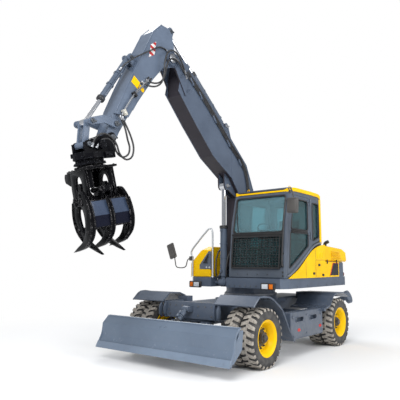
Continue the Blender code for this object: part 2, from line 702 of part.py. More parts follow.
def outrigger(side_name, side):
    pivot = (side * OUTRIGGER_X, OUTRIGGER_PIVOT_Z)
    way = (side * math.cos(LEG_FOLD), math.sin(LEG_FOLD))
    out = (-way[1] * side, way[0] * side)
    name = "outrigger_" + side_name
    middle = (OUTRIGGER_Y[0] + OUTRIGGER_Y[1]) / 2
    body(name, "root", (pivot[0], middle, pivot[1]))
    half = LEG_W / 2

    def at(run, rise):
        return (pivot[0] + way[0] * run + out[0] * rise, pivot[1] + way[1] * run + out[1] * rise)
    leg = [at(0, -half), at(LEG_LENGTH, -half * 0.7), at(LEG_LENGTH, half * 0.7), at(0, half)]
    if side < 0:
        leg = leg[::-1]
    low, high = OUTRIGGER_Y[0] + LEG_GAP, OUTRIGGER_Y[1] - LEG_GAP
    pieces = [plate("Y", leg, -high, -low),
              rod((pivot[0], OUTRIGGER_Y[0], pivot[1]), (pivot[0], OUTRIGGER_Y[1], pivot[1]), half * 1.0, 16)]
    top = at(LEG_LENGTH - FOOT_T, 0)
    tip = at(LEG_LENGTH + FOOT_T, 0)
    pieces.append(rod((top[0], middle, top[1]), (tip[0], middle, tip[1]), FOOT_R, 20))
    web = [at(LEG_W, 0), at(LEG_LENGTH * 0.9, 0), at(LEG_LENGTH * 0.9, half * 2), at(LEG_W, half * 2)]
    if side < 0:
        web = web[::-1]
    cut = plate("Y", web, -high + FOOT_T, -low - FOOT_T)
    node(name, fused(pieces, [cut]), "slate", name, smooth=False)


for side_name, side in SIDES:
    outrigger(side_name, side)

# Upper structure: deck with boom lugs, tanks, engine bay, counterweight
body("upper", "root", (0.0, SLEW_Y, RING_BASE))
NOTCH_BACK = 1.24
NOTCH_HALF = 0.17
BOOM_LUG_T = 0.03
BOOM_EYE_R = 0.13
BOOM_EYE_HALF = BOOM_HALF
BOOM_FOOT_PIN = (1.06, 1.16)
BOOM_ROD_PIN = (1.07, 2.95)
BOOM_CYL_R = 0.072
BOOM_CYL_ROD_R = 0.038
BOOM_CYL_EYE_R = 0.075
BOOM_CYL_EYE_HALF = 0.05
LAMP_Y = 0.06
DECK_CHAMFER = 0.16


def deck():
    outline = [(-UPPER_HALF, UPPER_FRONT + DECK_CHAMFER), (-UPPER_HALF + DECK_CHAMFER, UPPER_FRONT),
               (UPPER_HALF - DECK_CHAMFER / 2, UPPER_FRONT), (UPPER_HALF, UPPER_FRONT + DECK_CHAMFER),
               (UPPER_HALF, UPPER_REAR), (-UPPER_HALF, UPPER_REAR)]
    pieces = [plate("Z", outline, DECK_BOTTOM, DECK_TOP),
              rod((0, SLEW_Y, RING_BASE), (0, SLEW_Y, DECK_BOTTOM + OVERRUN), RING_R, 32)]
    for side in (-1, 1):
        near = BOOM_X + side * (BOOM_EYE_HALF + SEAT_GAP)
        xs = tuple(sorted((near, near + side * BOOM_LUG_T)))
        outline = arc(BOOM_FOOT, BOOM_EYE_R, -10, 170, 10) + [
            (NOTCH_BACK - BOOM_EYE_R, DECK_TOP - OVERRUN), (BOOM_FOOT[0] + 3 * BOOM_EYE_R, DECK_TOP - OVERRUN)]
        pieces.append(plate("X", outline, *xs))
        far = xs[0] if side < 0 else xs[1]
        pieces.append(rod((far - side * BOOM_LUG_T / 2, *BOOM_FOOT),
                          (far + side * BOOM_LUG_T / 3, *BOOM_FOOT), BOOM_EYE_R * 0.5, 14))
    notch = box((BOOM_X - NOTCH_HALF, BOOM_X + NOTCH_HALF), (UPPER_FRONT - OVERRUN, NOTCH_BACK),
                (DECK_BOTTOM - OVERRUN / 2, DECK_TOP + OVERRUN))
    solid = fused(pieces, [notch])
    lugs = []
    for side in (-1, 1):
        near = BOOM_X + side * (BOOM_CYL_EYE_HALF + SEAT_GAP)
        far = BOOM_X + side * (NOTCH_HALF + OVERRUN)
        xs = tuple(sorted((near, near + side * BOOM_LUG_T)))
        outline = arc(BOOM_FOOT_PIN, BOOM_CYL_EYE_R * 0.9, 60, 240, 8) + [
            (NOTCH_BACK + OVERRUN, DECK_BOTTOM), (NOTCH_BACK + OVERRUN, DECK_TOP - OVERRUN)]
        lugs.append(plate("X", outline, *xs))
        lugs.append(rod((near + side * BOOM_LUG_T / 2, *BOOM_FOOT_PIN), (far, *BOOM_FOOT_PIN),
                        BOOM_CYL_EYE_R * 0.45, 12))
    node("deck", fused([solid] + lugs), "slate", "upper", smooth=False)


deck()

TANK_X = (-UPPER_HALF, -0.56)
TANK_Y = (1.00, 2.46)
TANK_TOP = 1.82
TANK_SHOULDER = 1.51
TANK_CHAMFER = 0.32
HOOD_FRONT = 2.49
HOOD_SIDE = 1.55
HOOD_TOP = 1.86
HOOD_REAR_TOP = 1.81
BAY_WALL = 0.03
COUNTER_FRONT = 3.16
COUNTER_REAR = 3.70
COUNTER_BOTTOM = 1.13
BAY_Z = DECK_TOP + SEAT_GAP


def tank_housing():
    front = [(TANK_X[0], BAY_Z), (TANK_X[0], TANK_SHOULDER), (TANK_X[0] + TANK_CHAMFER, TANK_TOP),
             (TANK_X[1], TANK_TOP), (TANK_X[1], BAY_Z)]
    piece = plate("Y", front, -TANK_Y[1], -TANK_Y[0])
    slope = plate("X", [(TANK_Y[0] - OVERRUN, TANK_TOP - TANK_CHAMFER / 4), (TANK_Y[0] + TANK_CHAMFER / 2,
                        TANK_TOP + OVERRUN), (TANK_Y[0] - OVERRUN, TANK_TOP + OVERRUN)],
                  TANK_X[0] - OVERRUN, TANK_X[1] + OVERRUN)
    node("tank_housing", bevelled(fused([piece], [slope]), BAY_WALL / 2), "yellow", "upper", smooth=False)


def engine_bay():
    low, high = COUNTER_FRONT - SEAT_GAP, HOOD_SIDE
    outer = box((-UPPER_HALF, UPPER_HALF), (HOOD_FRONT, low), (BAY_Z, high))
    hollow = box((-UPPER_HALF + BAY_WALL, UPPER_HALF - BAY_WALL), (HOOD_FRONT + BAY_WALL, low - BAY_WALL),
                 (BAY_Z + BAY_WALL, high + OVERRUN))
    node("engine_bay", fused([outer], [hollow]), "yellow", "upper", smooth=False)


ENGINE = ((-0.42, 0.42), (2.62, 3.06), 1.51)


def engine_block():
    floor = BAY_Z + BAY_WALL + SEAT_GAP
    pieces = [box(ENGINE[0], ENGINE[1], (floor, ENGINE[2]), BAY_WALL)]
    node("engine_block", pieces[0], "iron", "upper", smooth=False)


def counterweight():
    share = ((0.0, 0.0), (1.0, 0.0), (1.0, 0.45), (0.78, 0.86), (0.45, 1.0), (0.0, 1.0))
    outline = [(UPPER_HALF * a, COUNTER_FRONT + (COUNTER_REAR - COUNTER_FRONT) * b) for a, b in share[1:]]
    outline += [(-x, y) for x, y in outline[:-1][::-1]]
    block = plate("Z", outline, COUNTER_BOTTOM, HOOD_SIDE)
    cut = box((-UPPER_HALF - OVERRUN, UPPER_HALF + OVERRUN), (COUNTER_FRONT - OVERRUN, UPPER_REAR + SEAT_GAP),
              (COUNTER_BOTTOM - OVERRUN, DECK_TOP + SEAT_GAP))
    node("counterweight", fused([bevelled(block, BAY_WALL)], [cut]), "slate", "upper")


def engine_hood():
    body("engine_hood", "upper", (0.0, HOOD_FRONT, HOOD_TOP))
    share = ((0.0, 0.0), (0.0, 1.0), (0.80, 0.84), (0.97, 0.62), (1.0, 0.0))
    depth = COUNTER_REAR - 0.10 - HOOD_FRONT
    height = HOOD_TOP - HOOD_SIDE - SEAT_GAP
    outline = [(HOOD_FRONT + depth * a, HOOD_SIDE + SEAT_GAP + height * b) for a, b in share]
    outer = bevelled(plate("X", outline, -UPPER_HALF, UPPER_HALF), BAY_WALL)
    inner_share = ((0.05, -0.2), (0.05, 0.88), (0.78, 0.74), (0.93, 0.54), (0.96, -0.2))
    inner = [(HOOD_FRONT + depth * a, HOOD_SIDE + height * b) for a, b in inner_share]
    hollow = plate("X", inner, -UPPER_HALF + BAY_WALL, UPPER_HALF - BAY_WALL)
    node("engine_hood", fused([outer], [hollow]), "yellow", "engine_hood", smooth=False)


tank_housing()
engine_bay()
engine_block()
counterweight()
engine_hood()

# Side skirt under the cab's door sill, rising in a curve to the engine bay
SKIRT_T = 0.025
SKIRT = ((1.06, 1.262), (1.42, 1.41), (1.90, 1.71), (2.20, 1.82), (2.47, 1.86))


def side_skirt():
    near = UPPER_HALF - SKIRT_T / 5
    outline = list(SKIRT) + [(SKIRT[-1][0], BAY_Z), (SKIRT[0][0], BAY_Z)]
    back = box((CAB_IN + SEAT_GAP, near + SKIRT_T), (CAB_REAR + SKIRT_T, SKIRT[-1][0]), (BAY_Z, SKIRT[-1][1]))
    node("side_skirt", fused([plate("X", outline, near, near + SKIRT_T), back]), "yellow", "upper", smooth=False)


side_skirt()

# Cab: one welded shell with its window and door openings, then glass, door and inside
CAB_Z = DECK_TOP + SEAT_GAP
CAB_OUTLINE = [(0.93, CAB_Z), (0.93, 1.40), (1.02, 2.20), (1.15, 2.72), (1.22, CAB_ROOF - 0.02), (1.36, CAB_ROOF),
               (2.28, CAB_ROOF), (2.39, CAB_ROOF - 0.08), (2.39, CAB_Z)]
GLASS_T = 0.008
DOOR_T = 0.045
DOOR_GAP = 0.005
DOOR_OUTLINE = [(1.02, 1.32), (1.10, 2.20), (1.22, 2.66), (1.26, 2.70), (1.90, 2.70), (1.90, 1.78), (1.42, 1.50),
                (1.10, 1.34)]
HINGE_R = 0.0116
STRAP_T = 0.006
DOOR_HINGE = (CAB_OUT + HINGE_R + SEAT_GAP, 1.93)
QUARTER_OUTLINE = [(2.02, 1.92), (2.02, 2.62), (2.28, 2.62), (2.28, 2.00)]
SIDE_OUTLINE = [(1.10, 1.62), (1.17, 2.20), (1.28, 2.62), (2.24, 2.62), (2.24, 1.62)]
FRONT_X = (CAB_IN + 0.06, CAB_OUT - 0.06)
FRONT_SPLIT_Z = 2.00
REAR_WINDOW = ((0.08, 0.85), (1.98, 2.62))


def inset(outline, amount):
    """The outline moved in by the amount on every edge."""
    area = sum(a[0] * b[1] - b[0] * a[1] for a, b in zip(outline, outline[1:] + outline[:1]))
    turn = math.copysign(1.0, area)
    made = []
    count = len(outline)
    for k, point in enumerate(outline):
        normals = []
        for a, b in ((outline[k - 1], point), (point, outline[(k + 1) % count])):
            length = math.hypot(b[0] - a[0], b[1] - a[1])
            normals.append((-(b[1] - a[1]) / length * turn, (b[0] - a[0]) / length * turn))
        (ax, ay), (bx, by) = normals
        share = amount / (1 + ax * bx + ay * by)
        made.append((point[0] + (ax + bx) * share, point[1] + (ay + by) * share))
    return made


def front_y(z):
    """The cab front's Y at a height, along its slanted outline."""
    for (y0, z0), (y1, z1) in zip(CAB_OUTLINE[:-1], CAB_OUTLINE[1:]):
        if z0 <= z <= z1:
            return y0 + (y1 - y0) * (z - z0) / (z1 - z0)
    return CAB_FRONT


def front_pane(z_low, z_high, half_t, grow):
    """A pane's outline across the cab's front, half_t either side of the wall's middle."""
    pts = [(front_y(z_low) + CAB_WALL / 2, z_low + grow)]
    for y, z in CAB_OUTLINE:
        if z_low < z < z_high and y < CAB_OUTLINE[4][0]:
            pts.append((y + CAB_WALL / 2, z))
    pts.append((front_y(z_high) + CAB_WALL / 2, z_high - grow))
    left = [(y - half_t, z) for y, z in pts]
    right = [(y + half_t, z) for y, z in pts]
    return left + right[::-1]


SCREEN_Z = (2.04, 2.68)
LOWER_Z = (1.44, 1.98)


def cab():
    outer = plate("X", CAB_OUTLINE, CAB_IN, CAB_OUT)
    inner = plate("X", inset(CAB_OUTLINE, CAB_WALL), CAB_IN + CAB_WALL, CAB_OUT - CAB_WALL)
    shell = fused([bevelled(outer, CAB_WALL / 2, 1, 60)], [inner])
    cuts = [
        plate("X", DOOR_OUTLINE, CAB_OUT - CAB_WALL - OVERRUN, CAB_OUT + OVERRUN),
        plate("X", QUARTER_OUTLINE, CAB_OUT - CAB_WALL - OVERRUN, CAB_OUT + OVERRUN),
        plate("X", SIDE_OUTLINE, CAB_IN - OVERRUN, CAB_IN + CAB_WALL + OVERRUN),
        plate("X", front_pane(*SCREEN_Z, CAB_WALL + OVERRUN, 0), *FRONT_X),
        plate("X", front_pane(*LOWER_Z, CAB_WALL + OVERRUN, 0), *FRONT_X),
        box(REAR_WINDOW[0], (CAB_REAR - CAB_WALL - OVERRUN, CAB_REAR + OVERRUN), REAR_WINDOW[1]),
    ]
    node("cab_shell", fused([shell], cuts), "slate", "upper", smooth=False)
    in_x = CAB_OUT - CAB_WALL / 2
    node("quarter_window", plate("X", inset(QUARTER_OUTLINE, SEAT_GAP), in_x - GLASS_T / 2, in_x + GLASS_T / 2),
         "glass", "upper", smooth=False)
    in_x = CAB_IN + CAB_WALL / 2
    node("side_window", plate("X", inset(SIDE_OUTLINE, SEAT_GAP), in_x - GLASS_T / 2, in_x + GLASS_T / 2),
         "glass", "upper", smooth=False)
    xs = (FRONT_X[0] + SEAT_GAP, FRONT_X[1] - SEAT_GAP)
    node("windscreen", plate("X", front_pane(*SCREEN_Z, GLASS_T / 2, SEAT_GAP), *xs), "glass", "upper", smooth=False)
    node("lower_window", plate("X", front_pane(*LOWER_Z, GLASS_T / 2, SEAT_GAP), *xs), "glass", "upper", smooth=False)
    mid = CAB_REAR - CAB_WALL / 2
    node("rear_window", box((REAR_WINDOW[0][0] + SEAT_GAP, REAR_WINDOW[0][1] - SEAT_GAP),
                            (mid - GLASS_T / 2, mid + GLASS_T / 2),
                            (REAR_WINDOW[1][0] + SEAT_GAP, REAR_WINDOW[1][1] - SEAT_GAP)),
         "glass", "upper", smooth=False)


DOOR_FRAME = 0.06
DOOR_RAIL_Z = (2.04, 2.10)


def door():
    body("door", "upper", (*DOOR_HINGE, 1.5))
    edge = inset(DOOR_OUTLINE, DOOR_GAP)
    near, far = CAB_OUT - DOOR_T, CAB_OUT
    panel = plate("X", edge, near, far)
    upper = [(1.18, DOOR_RAIL_Z[1]), (1.30, 2.63), (1.83, 2.63), (1.83, DOOR_RAIL_Z[1])]
    lower = [(1.10, 1.42), (1.16, DOOR_RAIL_Z[0]), (1.83, DOOR_RAIL_Z[0]), (1.83, 1.82), (1.42, 1.59)]
    cuts = [plate("X", upper, near - OVERRUN, far + OVERRUN), plate("X", lower, near - OVERRUN, far + OVERRUN)]
    hinges = []
    for z in (1.95, 2.56):
        hinges.append(rod((*DOOR_HINGE, z), (*DOOR_HINGE, z + 2 * DOOR_FRAME), HINGE_R, 12))
        hinges.append(box((far + SEAT_GAP, far + STRAP_T), (edge[4][0] - DOOR_FRAME, DOOR_HINGE[1]),
                          (z + STRAP_T, z + 2 * DOOR_FRAME - STRAP_T)))
        hinges.append(box((far - STRAP_T, far + STRAP_T / 2), (edge[4][0] - DOOR_FRAME / 2, edge[4][0] - RUN_GAP),
                          (z + 2 * STRAP_T, z + 2 * DOOR_FRAME - 2 * STRAP_T)))
    node("door", fused([panel] + hinges, cuts), "slate", "door", smooth=False)
    mid = (near + far) / 2
    node("door_upper_glass", plate("X", inset(upper, SEAT_GAP), mid - GLASS_T / 2, mid + GLASS_T / 2),
         "glass", "door", smooth=False)
    node("door_lower_glass", plate("X", inset(lower, SEAT_GAP), mid - GLASS_T / 2, mid + GLASS_T / 2),
         "glass", "door", smooth=False)


def cab_inside():
    floor = CAB_Z + CAB_WALL + SEAT_GAP
    middle = (CAB_IN + CAB_OUT) / 2
    seat = [
        box((middle - 0.20, middle + 0.20), (1.70, 2.06), (floor, floor + 0.34), 0.02),
        box((middle - 0.25, middle + 0.25), (1.60, 2.10), (floor + 0.32, floor + 0.46), 0.05, 2),
        plate("X", [(2.02, floor + 0.40), (2.16, floor + 1.05), (2.26, floor + 1.03), (2.14, floor + 0.40)],
              middle - 0.23, middle + 0.23),
        box((middle - 0.35, middle - 0.235), (1.63, 2.03), (floor + 0.35, floor + 0.62), 0.02),
        box((middle + 0.235, middle + 0.35), (1.63, 2.03), (floor + 0.35, floor + 0.62), 0.02),
    ]
    node("seat", fused(seat), "trim", "upper")
    wheel_ring = torus((middle, 1.36, floor + 0.80), 0.18, 0.013, math.radians(-35))
    column = rod((middle, 1.184, floor + 0.015), (middle, 1.362, floor + 0.80), 0.035, 12)
    foot = rod((middle, 1.18, floor), (middle, 1.18, floor + 0.035), 0.07, 12)
    spoke = rod((middle - 0.18, 1.36, floor + 0.80), (middle + 0.18, 1.36, floor + 0.80), 0.012, 8)
    node("steering_column", fused([column, foot, wheel_ring, spoke]), "trim", "upper")


def torus(centre, major, minor, tilt, sides=16, ring=6):
    profile = [(major + minor * math.cos(a), minor * math.sin(a))
               for a in [-2 * math.pi * k / ring + math.pi / 2 for k in range(ring)]]
    return turned_open(profile, sides, Matrix.Translation(centre) @ Matrix.Rotation(tilt, 4, "X"))


GUARD_Z = (1.43, 1.97)
GUARD_BAR = 0.012
GUARD_OFF = 0.03
GUARD_GRID = (8, 4)
LEG_GAP_GUARD = 0.0014


def grille():
    """A frame of flat bars with upright wires behind and level wires before them."""
    width, height = FRONT_X[1] - FRONT_X[0] - 2 * GUARD_OFF, GUARD_Z[1] - GUARD_Z[0]
    columns, rows = GUARD_GRID
    wire = GUARD_BAR / 2
    bars = []
    for up in (0.0, height):
        bars.append(box((-GUARD_BAR, width + GUARD_BAR), (up - GUARD_BAR, up + GUARD_BAR), (-wire, 1.9 * wire)))
    for x in (0.0, width):
        bars.append(box((x - GUARD_BAR * 0.9, x + GUARD_BAR * 0.9), (0, height), (-0.8 * wire, 2.1 * wire)))
    for k in range(1, columns):
        x = width * k / columns
        bars.append(box((x - wire / 2, x + wire / 2), (-wire, height + wire), (0, wire)))
    for k in range(1, rows):
        up = height * k / rows
        bars.append(box((-wire, width + wire), (up - wire / 2, up + wire / 2), (0.7 * wire, 1.7 * wire)))
    lean = math.atan2(front_y(GUARD_Z[1]) - front_y(GUARD_Z[0]), height)
    place = (Matrix.Translation((FRONT_X[0] + GUARD_OFF, front_y(GUARD_Z[0]) - GUARD_OFF, GUARD_Z[0]))
             @ Matrix.Rotation(math.pi / 2 - lean, 4, "X"))
    legs = []
    for x in (0.0, width):
        for up in (0.0, height):
            foot = place @ Vector((x, up, 0))
            reach = Vector((foot.x, front_y(foot.z) - LEG_GAP_GUARD, foot.z))
            legs.append(rod((foot.x, foot.y, foot.z), tuple(reach), GUARD_BAR * 0.7, 6))
    node("window_guard", fused([moved(bar, place) for bar in bars] + legs), "slate", "upper", smooth=False)


cab()
door()
cab_inside()
grille()

# Handrail beside the walkway and the two mirrors
RAIL_R = 0.016
HANDRAIL = ((-0.97, 0.975, DECK_TOP + SEAT_GAP), (-0.97, 0.975, 1.60), (-1.00, 0.965, 1.76), (-0.62, 0.965, 2.12), (-0.50, 0.965, 2.19),
            (-0.52, 0.985, 2.05), (-0.52, 0.985, DECK_TOP + SEAT_GAP))


def handrail():
    node("handrail", tube(HANDRAIL, RAIL_R, 1), "trim", "upper")


def mirror(name, foot, stub, elbow, head, size):
    pieces = [tube([foot, stub, elbow, head], 0.010, 1),
              box((head[0] - size[0] / 2, head[0] + size[0] / 2), (head[1] - size[1] / 2, head[1] + size[1] / 2),
                  (head[2] - size[2] / 2, head[2] + size[2] / 2), 0.02)]
    node(name, fused(pieces), "trim", "upper")


handrail()
mirror("mirror_left", (CAB_OUT - 0.10, 1.45, CAB_ROOF + SEAT_GAP), (CAB_OUT - 0.10, 1.45, CAB_ROOF + 0.04),
       (CAB_OUT + 0.10, 0.98, CAB_ROOF + 0.03), (CAB_OUT + 0.12, 0.95, CAB_ROOF - 0.14), (0.17, 0.05, 0.26))
mirror("mirror_right", (-UPPER_HALF - SEAT_GAP, 1.06, 1.36), (-1.12, 1.06, 1.36), (-1.30, 0.88, 1.40),
       (-1.37, 0.85, 1.88), (0.18, 0.05, 0.34))

# Boom: a bent box beam from its foot boss to its tip fork
TIP_FORK_X = ARM_HALF + SEAT_GAP
TIP_FORK_T = 0.028
BOOM_UPPER = ((1.72, 1.62), (1.80, 2.30), (1.86, 2.95), (1.62, 3.42), (1.10, 3.84), (0.46, 4.37), (-0.30, 4.92))
BOOM_LOWER = ((-0.42, 4.36), (0.035, 3.90), (0.55, 3.42), (1.12, 3.10), (1.38, 2.80), (1.38, 2.30), (1.33, 1.62))
ARM_CYL_BASE = (1.06, 4.10)
ARM_CYL_PIN = (-0.55, 5.36)
ARM_CYL_R = 0.06
ARM_CYL_ROD_R = 0.033
ARM_CYL_EYE_R = 0.06
ARM_CYL_EYE_HALF = 0.05
body("boom", "upper", (BOOM_X, *BOOM_FOOT))
body("boom_barrel", "upper", (BOOM_X, *BOOM_FOOT_PIN))
body("boom_rod", "boom_barrel", (BOOM_X, *BOOM_ROD_PIN))


def side_lugs(x, pin, half, thick, radius, root_points, first, last):
    """Two plates with a rounded end about the pin, one on each side of the eye's space."""
    made = []
    for side in (-1, 1):
        near = x + side * (half + SEAT_GAP)
        xs = tuple(sorted((near, near + side * thick)))
        made.append(plate("X", arc(pin, radius, first, last, 8) + list(root_points), *xs))
        far = near + side * thick
        made.append(rod((near + side * thick / 2, *pin), (far + side * thick / 3, *pin), radius * 0.5, 12))
    return made


def boom():
    outline = arc(BOOM_FOOT, BOOM_EYE_R, 200, 340, 7) + list(BOOM_UPPER) + list(BOOM_LOWER)
    pieces = [plate("X", outline, BOOM_X - BOOM_HALF, BOOM_X + BOOM_HALF)]
    fork_root = [(-0.20, 4.90), (-0.30, 4.34)]
    for side in (-1, 1):
        near = BOOM_X + side * TIP_FORK_X
        xs = tuple(sorted((near, near + side * TIP_FORK_T)))
        pieces.append(plate("X", arc(BOOM_TIP, BOOM_EYE_R, 95, 300, 10) + [(-0.25, 4.30), (-0.15, 4.86)], *xs))
        far = near + side * TIP_FORK_T
        pieces.append(rod((near + side * TIP_FORK_T / 2, *BOOM_TIP), (far + side * TIP_FORK_T / 2, *BOOM_TIP),
                          BOOM_EYE_R * 0.6, 14))
    pieces += side_lugs(BOOM_X, ARM_CYL_BASE, ARM_CYL_EYE_HALF, TIP_FORK_T, ARM_CYL_EYE_R,
                        [(1.00, 3.86), (1.30, 3.64)], 30, 210)
    pieces += side_lugs(BOOM_X, BOOM_ROD_PIN, BOOM_CYL_EYE_HALF, TIP_FORK_T, BOOM_CYL_EYE_R,
                        [(1.42, 2.72), (1.30, 3.10), (0.98, 3.18)], 190, 300)
    mouth = box((BOOM_X - ARM_HALF - SEAT_GAP, BOOM_X + ARM_HALF + SEAT_GAP), (-1.20, -0.36), (4.0, 5.2))
    node("boom", fused(pieces, [mouth]), "slate", "boom", smooth=False)


def boom_cylinder():
    foot, pin = yz(BOOM_FOOT_PIN, BOOM_X), yz(BOOM_ROD_PIN, BOOM_X)
    barrel("boom_barrel", foot, along_way(foot, pin, 1.04), BOOM_CYL_R, BOOM_CYL_ROD_R, BOOM_CYL_EYE_R,
           BOOM_CYL_EYE_HALF, 0.93, "boom_barrel")
    cylinder_rod("boom_rod", along_way(foot, pin, 0.85), pin, BOOM_CYL_ROD_R, BOOM_CYL_EYE_R, BOOM_CYL_EYE_HALF,
                 "boom_rod")


boom()
boom_cylinder()

# Arm: a tapering box beam whose rear top carries the arm cylinder's rod
body("arm", "boom", (BOOM_X, *BOOM_TIP))
body("arm_barrel", "boom", (BOOM_X, *ARM_CYL_BASE))
body("arm_rod", "arm_barrel", (BOOM_X, *ARM_CYL_PIN))
TOOL_CYL_BASE = (-1.42, 4.60)
TOOL_CYL_R = 0.055
TOOL_CYL_ROD_R = 0.03
TOOL_CYL_EYE_R = 0.05
TOOL_CYL_EYE_HALF = 0.045
ROCKER_PIVOT = (-1.76, 3.46)
ROCKER_PIN = (-2.19, 3.40)
LINK_PIN = (-2.21, 3.08)
PIN_BOSS_R = 0.06
body("tool", "arm", (BOOM_X, *ARM_TIP))
body("rocker", "arm", (BOOM_X, *ROCKER_PIVOT))
body("tool_link", "tool", (BOOM_X, *LINK_PIN))
body("tool_barrel", "arm", (BOOM_X, *TOOL_CYL_BASE))
body("tool_rod", "tool_barrel", (BOOM_X, *ROCKER_PIN))
ARM_FRONT = ((-0.84, 5.34), (-1.02, 5.16), (-1.30, 4.60), (-1.55, 4.10), (-1.80, 3.56))
ARM_BACK = ((-1.66, 3.36), (-1.34, 3.90), (-1.02, 4.36), (-0.80, 4.62), (-0.55, 4.72))


def arm():
    outline = (list(ARM_FRONT) + [(-1.885, 3.32)] + arc(ARM_TIP, PIN_BOSS_R + 0.03, 190, 330, 6)
               + list(ARM_BACK) + arc(BOOM_TIP, BOOM_EYE_R, -30, 40, 5) + [(-0.58, 5.26), (-0.66, 5.34)])
    body_piece = plate("X", outline, BOOM_X - ARM_HALF, BOOM_X + ARM_HALF)
    taper = []
    for side in (-1, 1):
        low = BOOM_X + side * ARM_TIP_HALF
        high = BOOM_X + side * (ARM_HALF + OVERRUN)
        taper.append(box(tuple(sorted((low, high))), (-2.2, -1.2), (3.0, 3.62)))
    pieces = [fused([body_piece], taper)]
    pieces += side_lugs(BOOM_X, ARM_CYL_PIN, ARM_CYL_EYE_HALF, TIP_FORK_T, ARM_CYL_EYE_R + 0.01,
                        [(-0.84, 5.20), (-0.56, 5.10)], -20, 170)
    pieces += side_lugs(BOOM_X, TOOL_CYL_BASE, TOOL_CYL_EYE_HALF, TIP_FORK_T, TOOL_CYL_EYE_R + 0.01,
                        [(-1.30, 4.40), (-1.16, 4.72)], 60, 240)
    node("arm", fused(pieces), "slate", "arm", smooth=False)


def arm_cylinder():
    base, pin = yz(ARM_CYL_BASE, BOOM_X), yz(ARM_CYL_PIN, BOOM_X)
    barrel("arm_barrel", base, along_way(base, pin, 1.22), ARM_CYL_R, ARM_CYL_ROD_R, ARM_CYL_EYE_R,
           ARM_CYL_EYE_HALF, 1.10, "arm_barrel")
    cylinder_rod("arm_rod", along_way(base, pin, 0.70), pin, ARM_CYL_ROD_R, ARM_CYL_EYE_R, ARM_CYL_EYE_HALF,
                 "arm_rod")
    base, pin = yz(TOOL_CYL_BASE, BOOM_X), yz(ROCKER_PIN, BOOM_X)
    barrel("tool_barrel", base, along_way(base, pin, 0.95), TOOL_CYL_R, TOOL_CYL_ROD_R, TOOL_CYL_EYE_R,
           TOOL_CYL_EYE_HALF, 0.84, "tool_barrel")
    cylinder_rod("tool_rod", along_way(base, pin, 0.60), pin, TOOL_CYL_ROD_R, TOOL_CYL_EYE_R, TOOL_CYL_EYE_HALF,
                 "tool_rod")


ROCKER_T = 0.025
ROCKER_X = ARM_TIP_HALF + 0.034
ROCKER_RISE = 0.05
LINK_T = 0.03


def bar_outline(first, last, radius_a, radius_b, rise=0.0):
    """A bar with round ends, bowed to the left of its way from first to last by the rise."""
    way = math.atan2(last[1] - first[1], last[0] - first[0])
    towards = math.degrees(way)
    middle = ((first[0] + last[0]) / 2 + math.sin(way) * rise, (first[1] + last[1]) / 2 - math.cos(way) * rise)
    half = (radius_a + radius_b) / 2
    bow = []
    if rise:
        bow = [(middle[0] + math.sin(way) * half, middle[1] - math.cos(way) * half),
               (middle[0] - math.sin(way) * half, middle[1] + math.cos(way) * half)]
    outline = arc(first, radius_a, towards + 90, towards + 270, 7) + bow[:1]
    return outline + arc(last, radius_b, towards - 90, towards + 90, 7) + bow[1:]


def linkage():
    for side_name, side in SIDES:
        near = BOOM_X + side * ROCKER_X
        far = near + side * ROCKER_T
        xs = tuple(sorted((near, far)))
        outline = bar_outline(ROCKER_PIVOT, ROCKER_PIN, PIN_BOSS_R, PIN_BOSS_R * 0.85, ROCKER_RISE)
        piece = [plate("X", outline, *xs)]
        for pin in (ROCKER_PIVOT, ROCKER_PIN):
            piece.append(rod((near + side * ROCKER_T / 2, *pin), (far + side * ROCKER_T / 2, *pin),
                             PIN_BOSS_R * 0.6, 12))
        inner = BOOM_X + side * (ARM_TIP_HALF + SEAT_GAP)
        piece.append(rod((inner, *ROCKER_PIVOT), (near + side * ROCKER_T / 3, *ROCKER_PIVOT), PIN_BOSS_R * 0.8, 14))
        node("rocker_" + side_name, fused(piece), "slate", "rocker", smooth=False)
    pieces = [rod((BOOM_X - ARM_TIP_HALF + SEAT_GAP, *LINK_PIN), (BOOM_X + ARM_TIP_HALF - SEAT_GAP, *LINK_PIN),
                  PIN_BOSS_R * 0.8, 16)]
    for side in (-1, 1):
        near = BOOM_X + side * (TOOL_CYL_EYE_HALF + SEAT_GAP)
        far = near + side * LINK_T
        xs = tuple(sorted((near, far)))
        pieces.append(plate("X", bar_outline(ROCKER_PIN, LINK_PIN, PIN_BOSS_R * 0.75, PIN_BOSS_R * 0.7), *xs))
        pieces.append(rod((near + side * LINK_T / 2, *ROCKER_PIN),
                          (BOOM_X + side * (ROCKER_X - SEAT_GAP), *ROCKER_PIN), PIN_BOSS_R * 0.7, 12))
    node("tool_link", fused(pieces), "slate", "tool_link", smooth=False)


arm()
arm_cylinder()
linkage()

# Tool bracket with its rotator, tilted with the hanging tool
GRAPPLE_UP = Matrix.Rotation(GRAPPLE_TILT, 4, "X")
GRAPPLE_PLACE = Matrix.Translation((BOOM_X, *GRAPPLE_TOP)) @ GRAPPLE_UP
GRAPPLE_FRAME = GRAPPLE_PLACE @ Matrix.Rotation(GRAPPLE_TURN, 4, "Z")
EAR_T = 0.028
BRACKET_PLATE_T = 0.05
ROTATOR_R = 0.22
ROTATOR_H = 0.12
HEAD_PLATE_T = 0.025
body("rotator", "tool", GRAPPLE_FRAME)


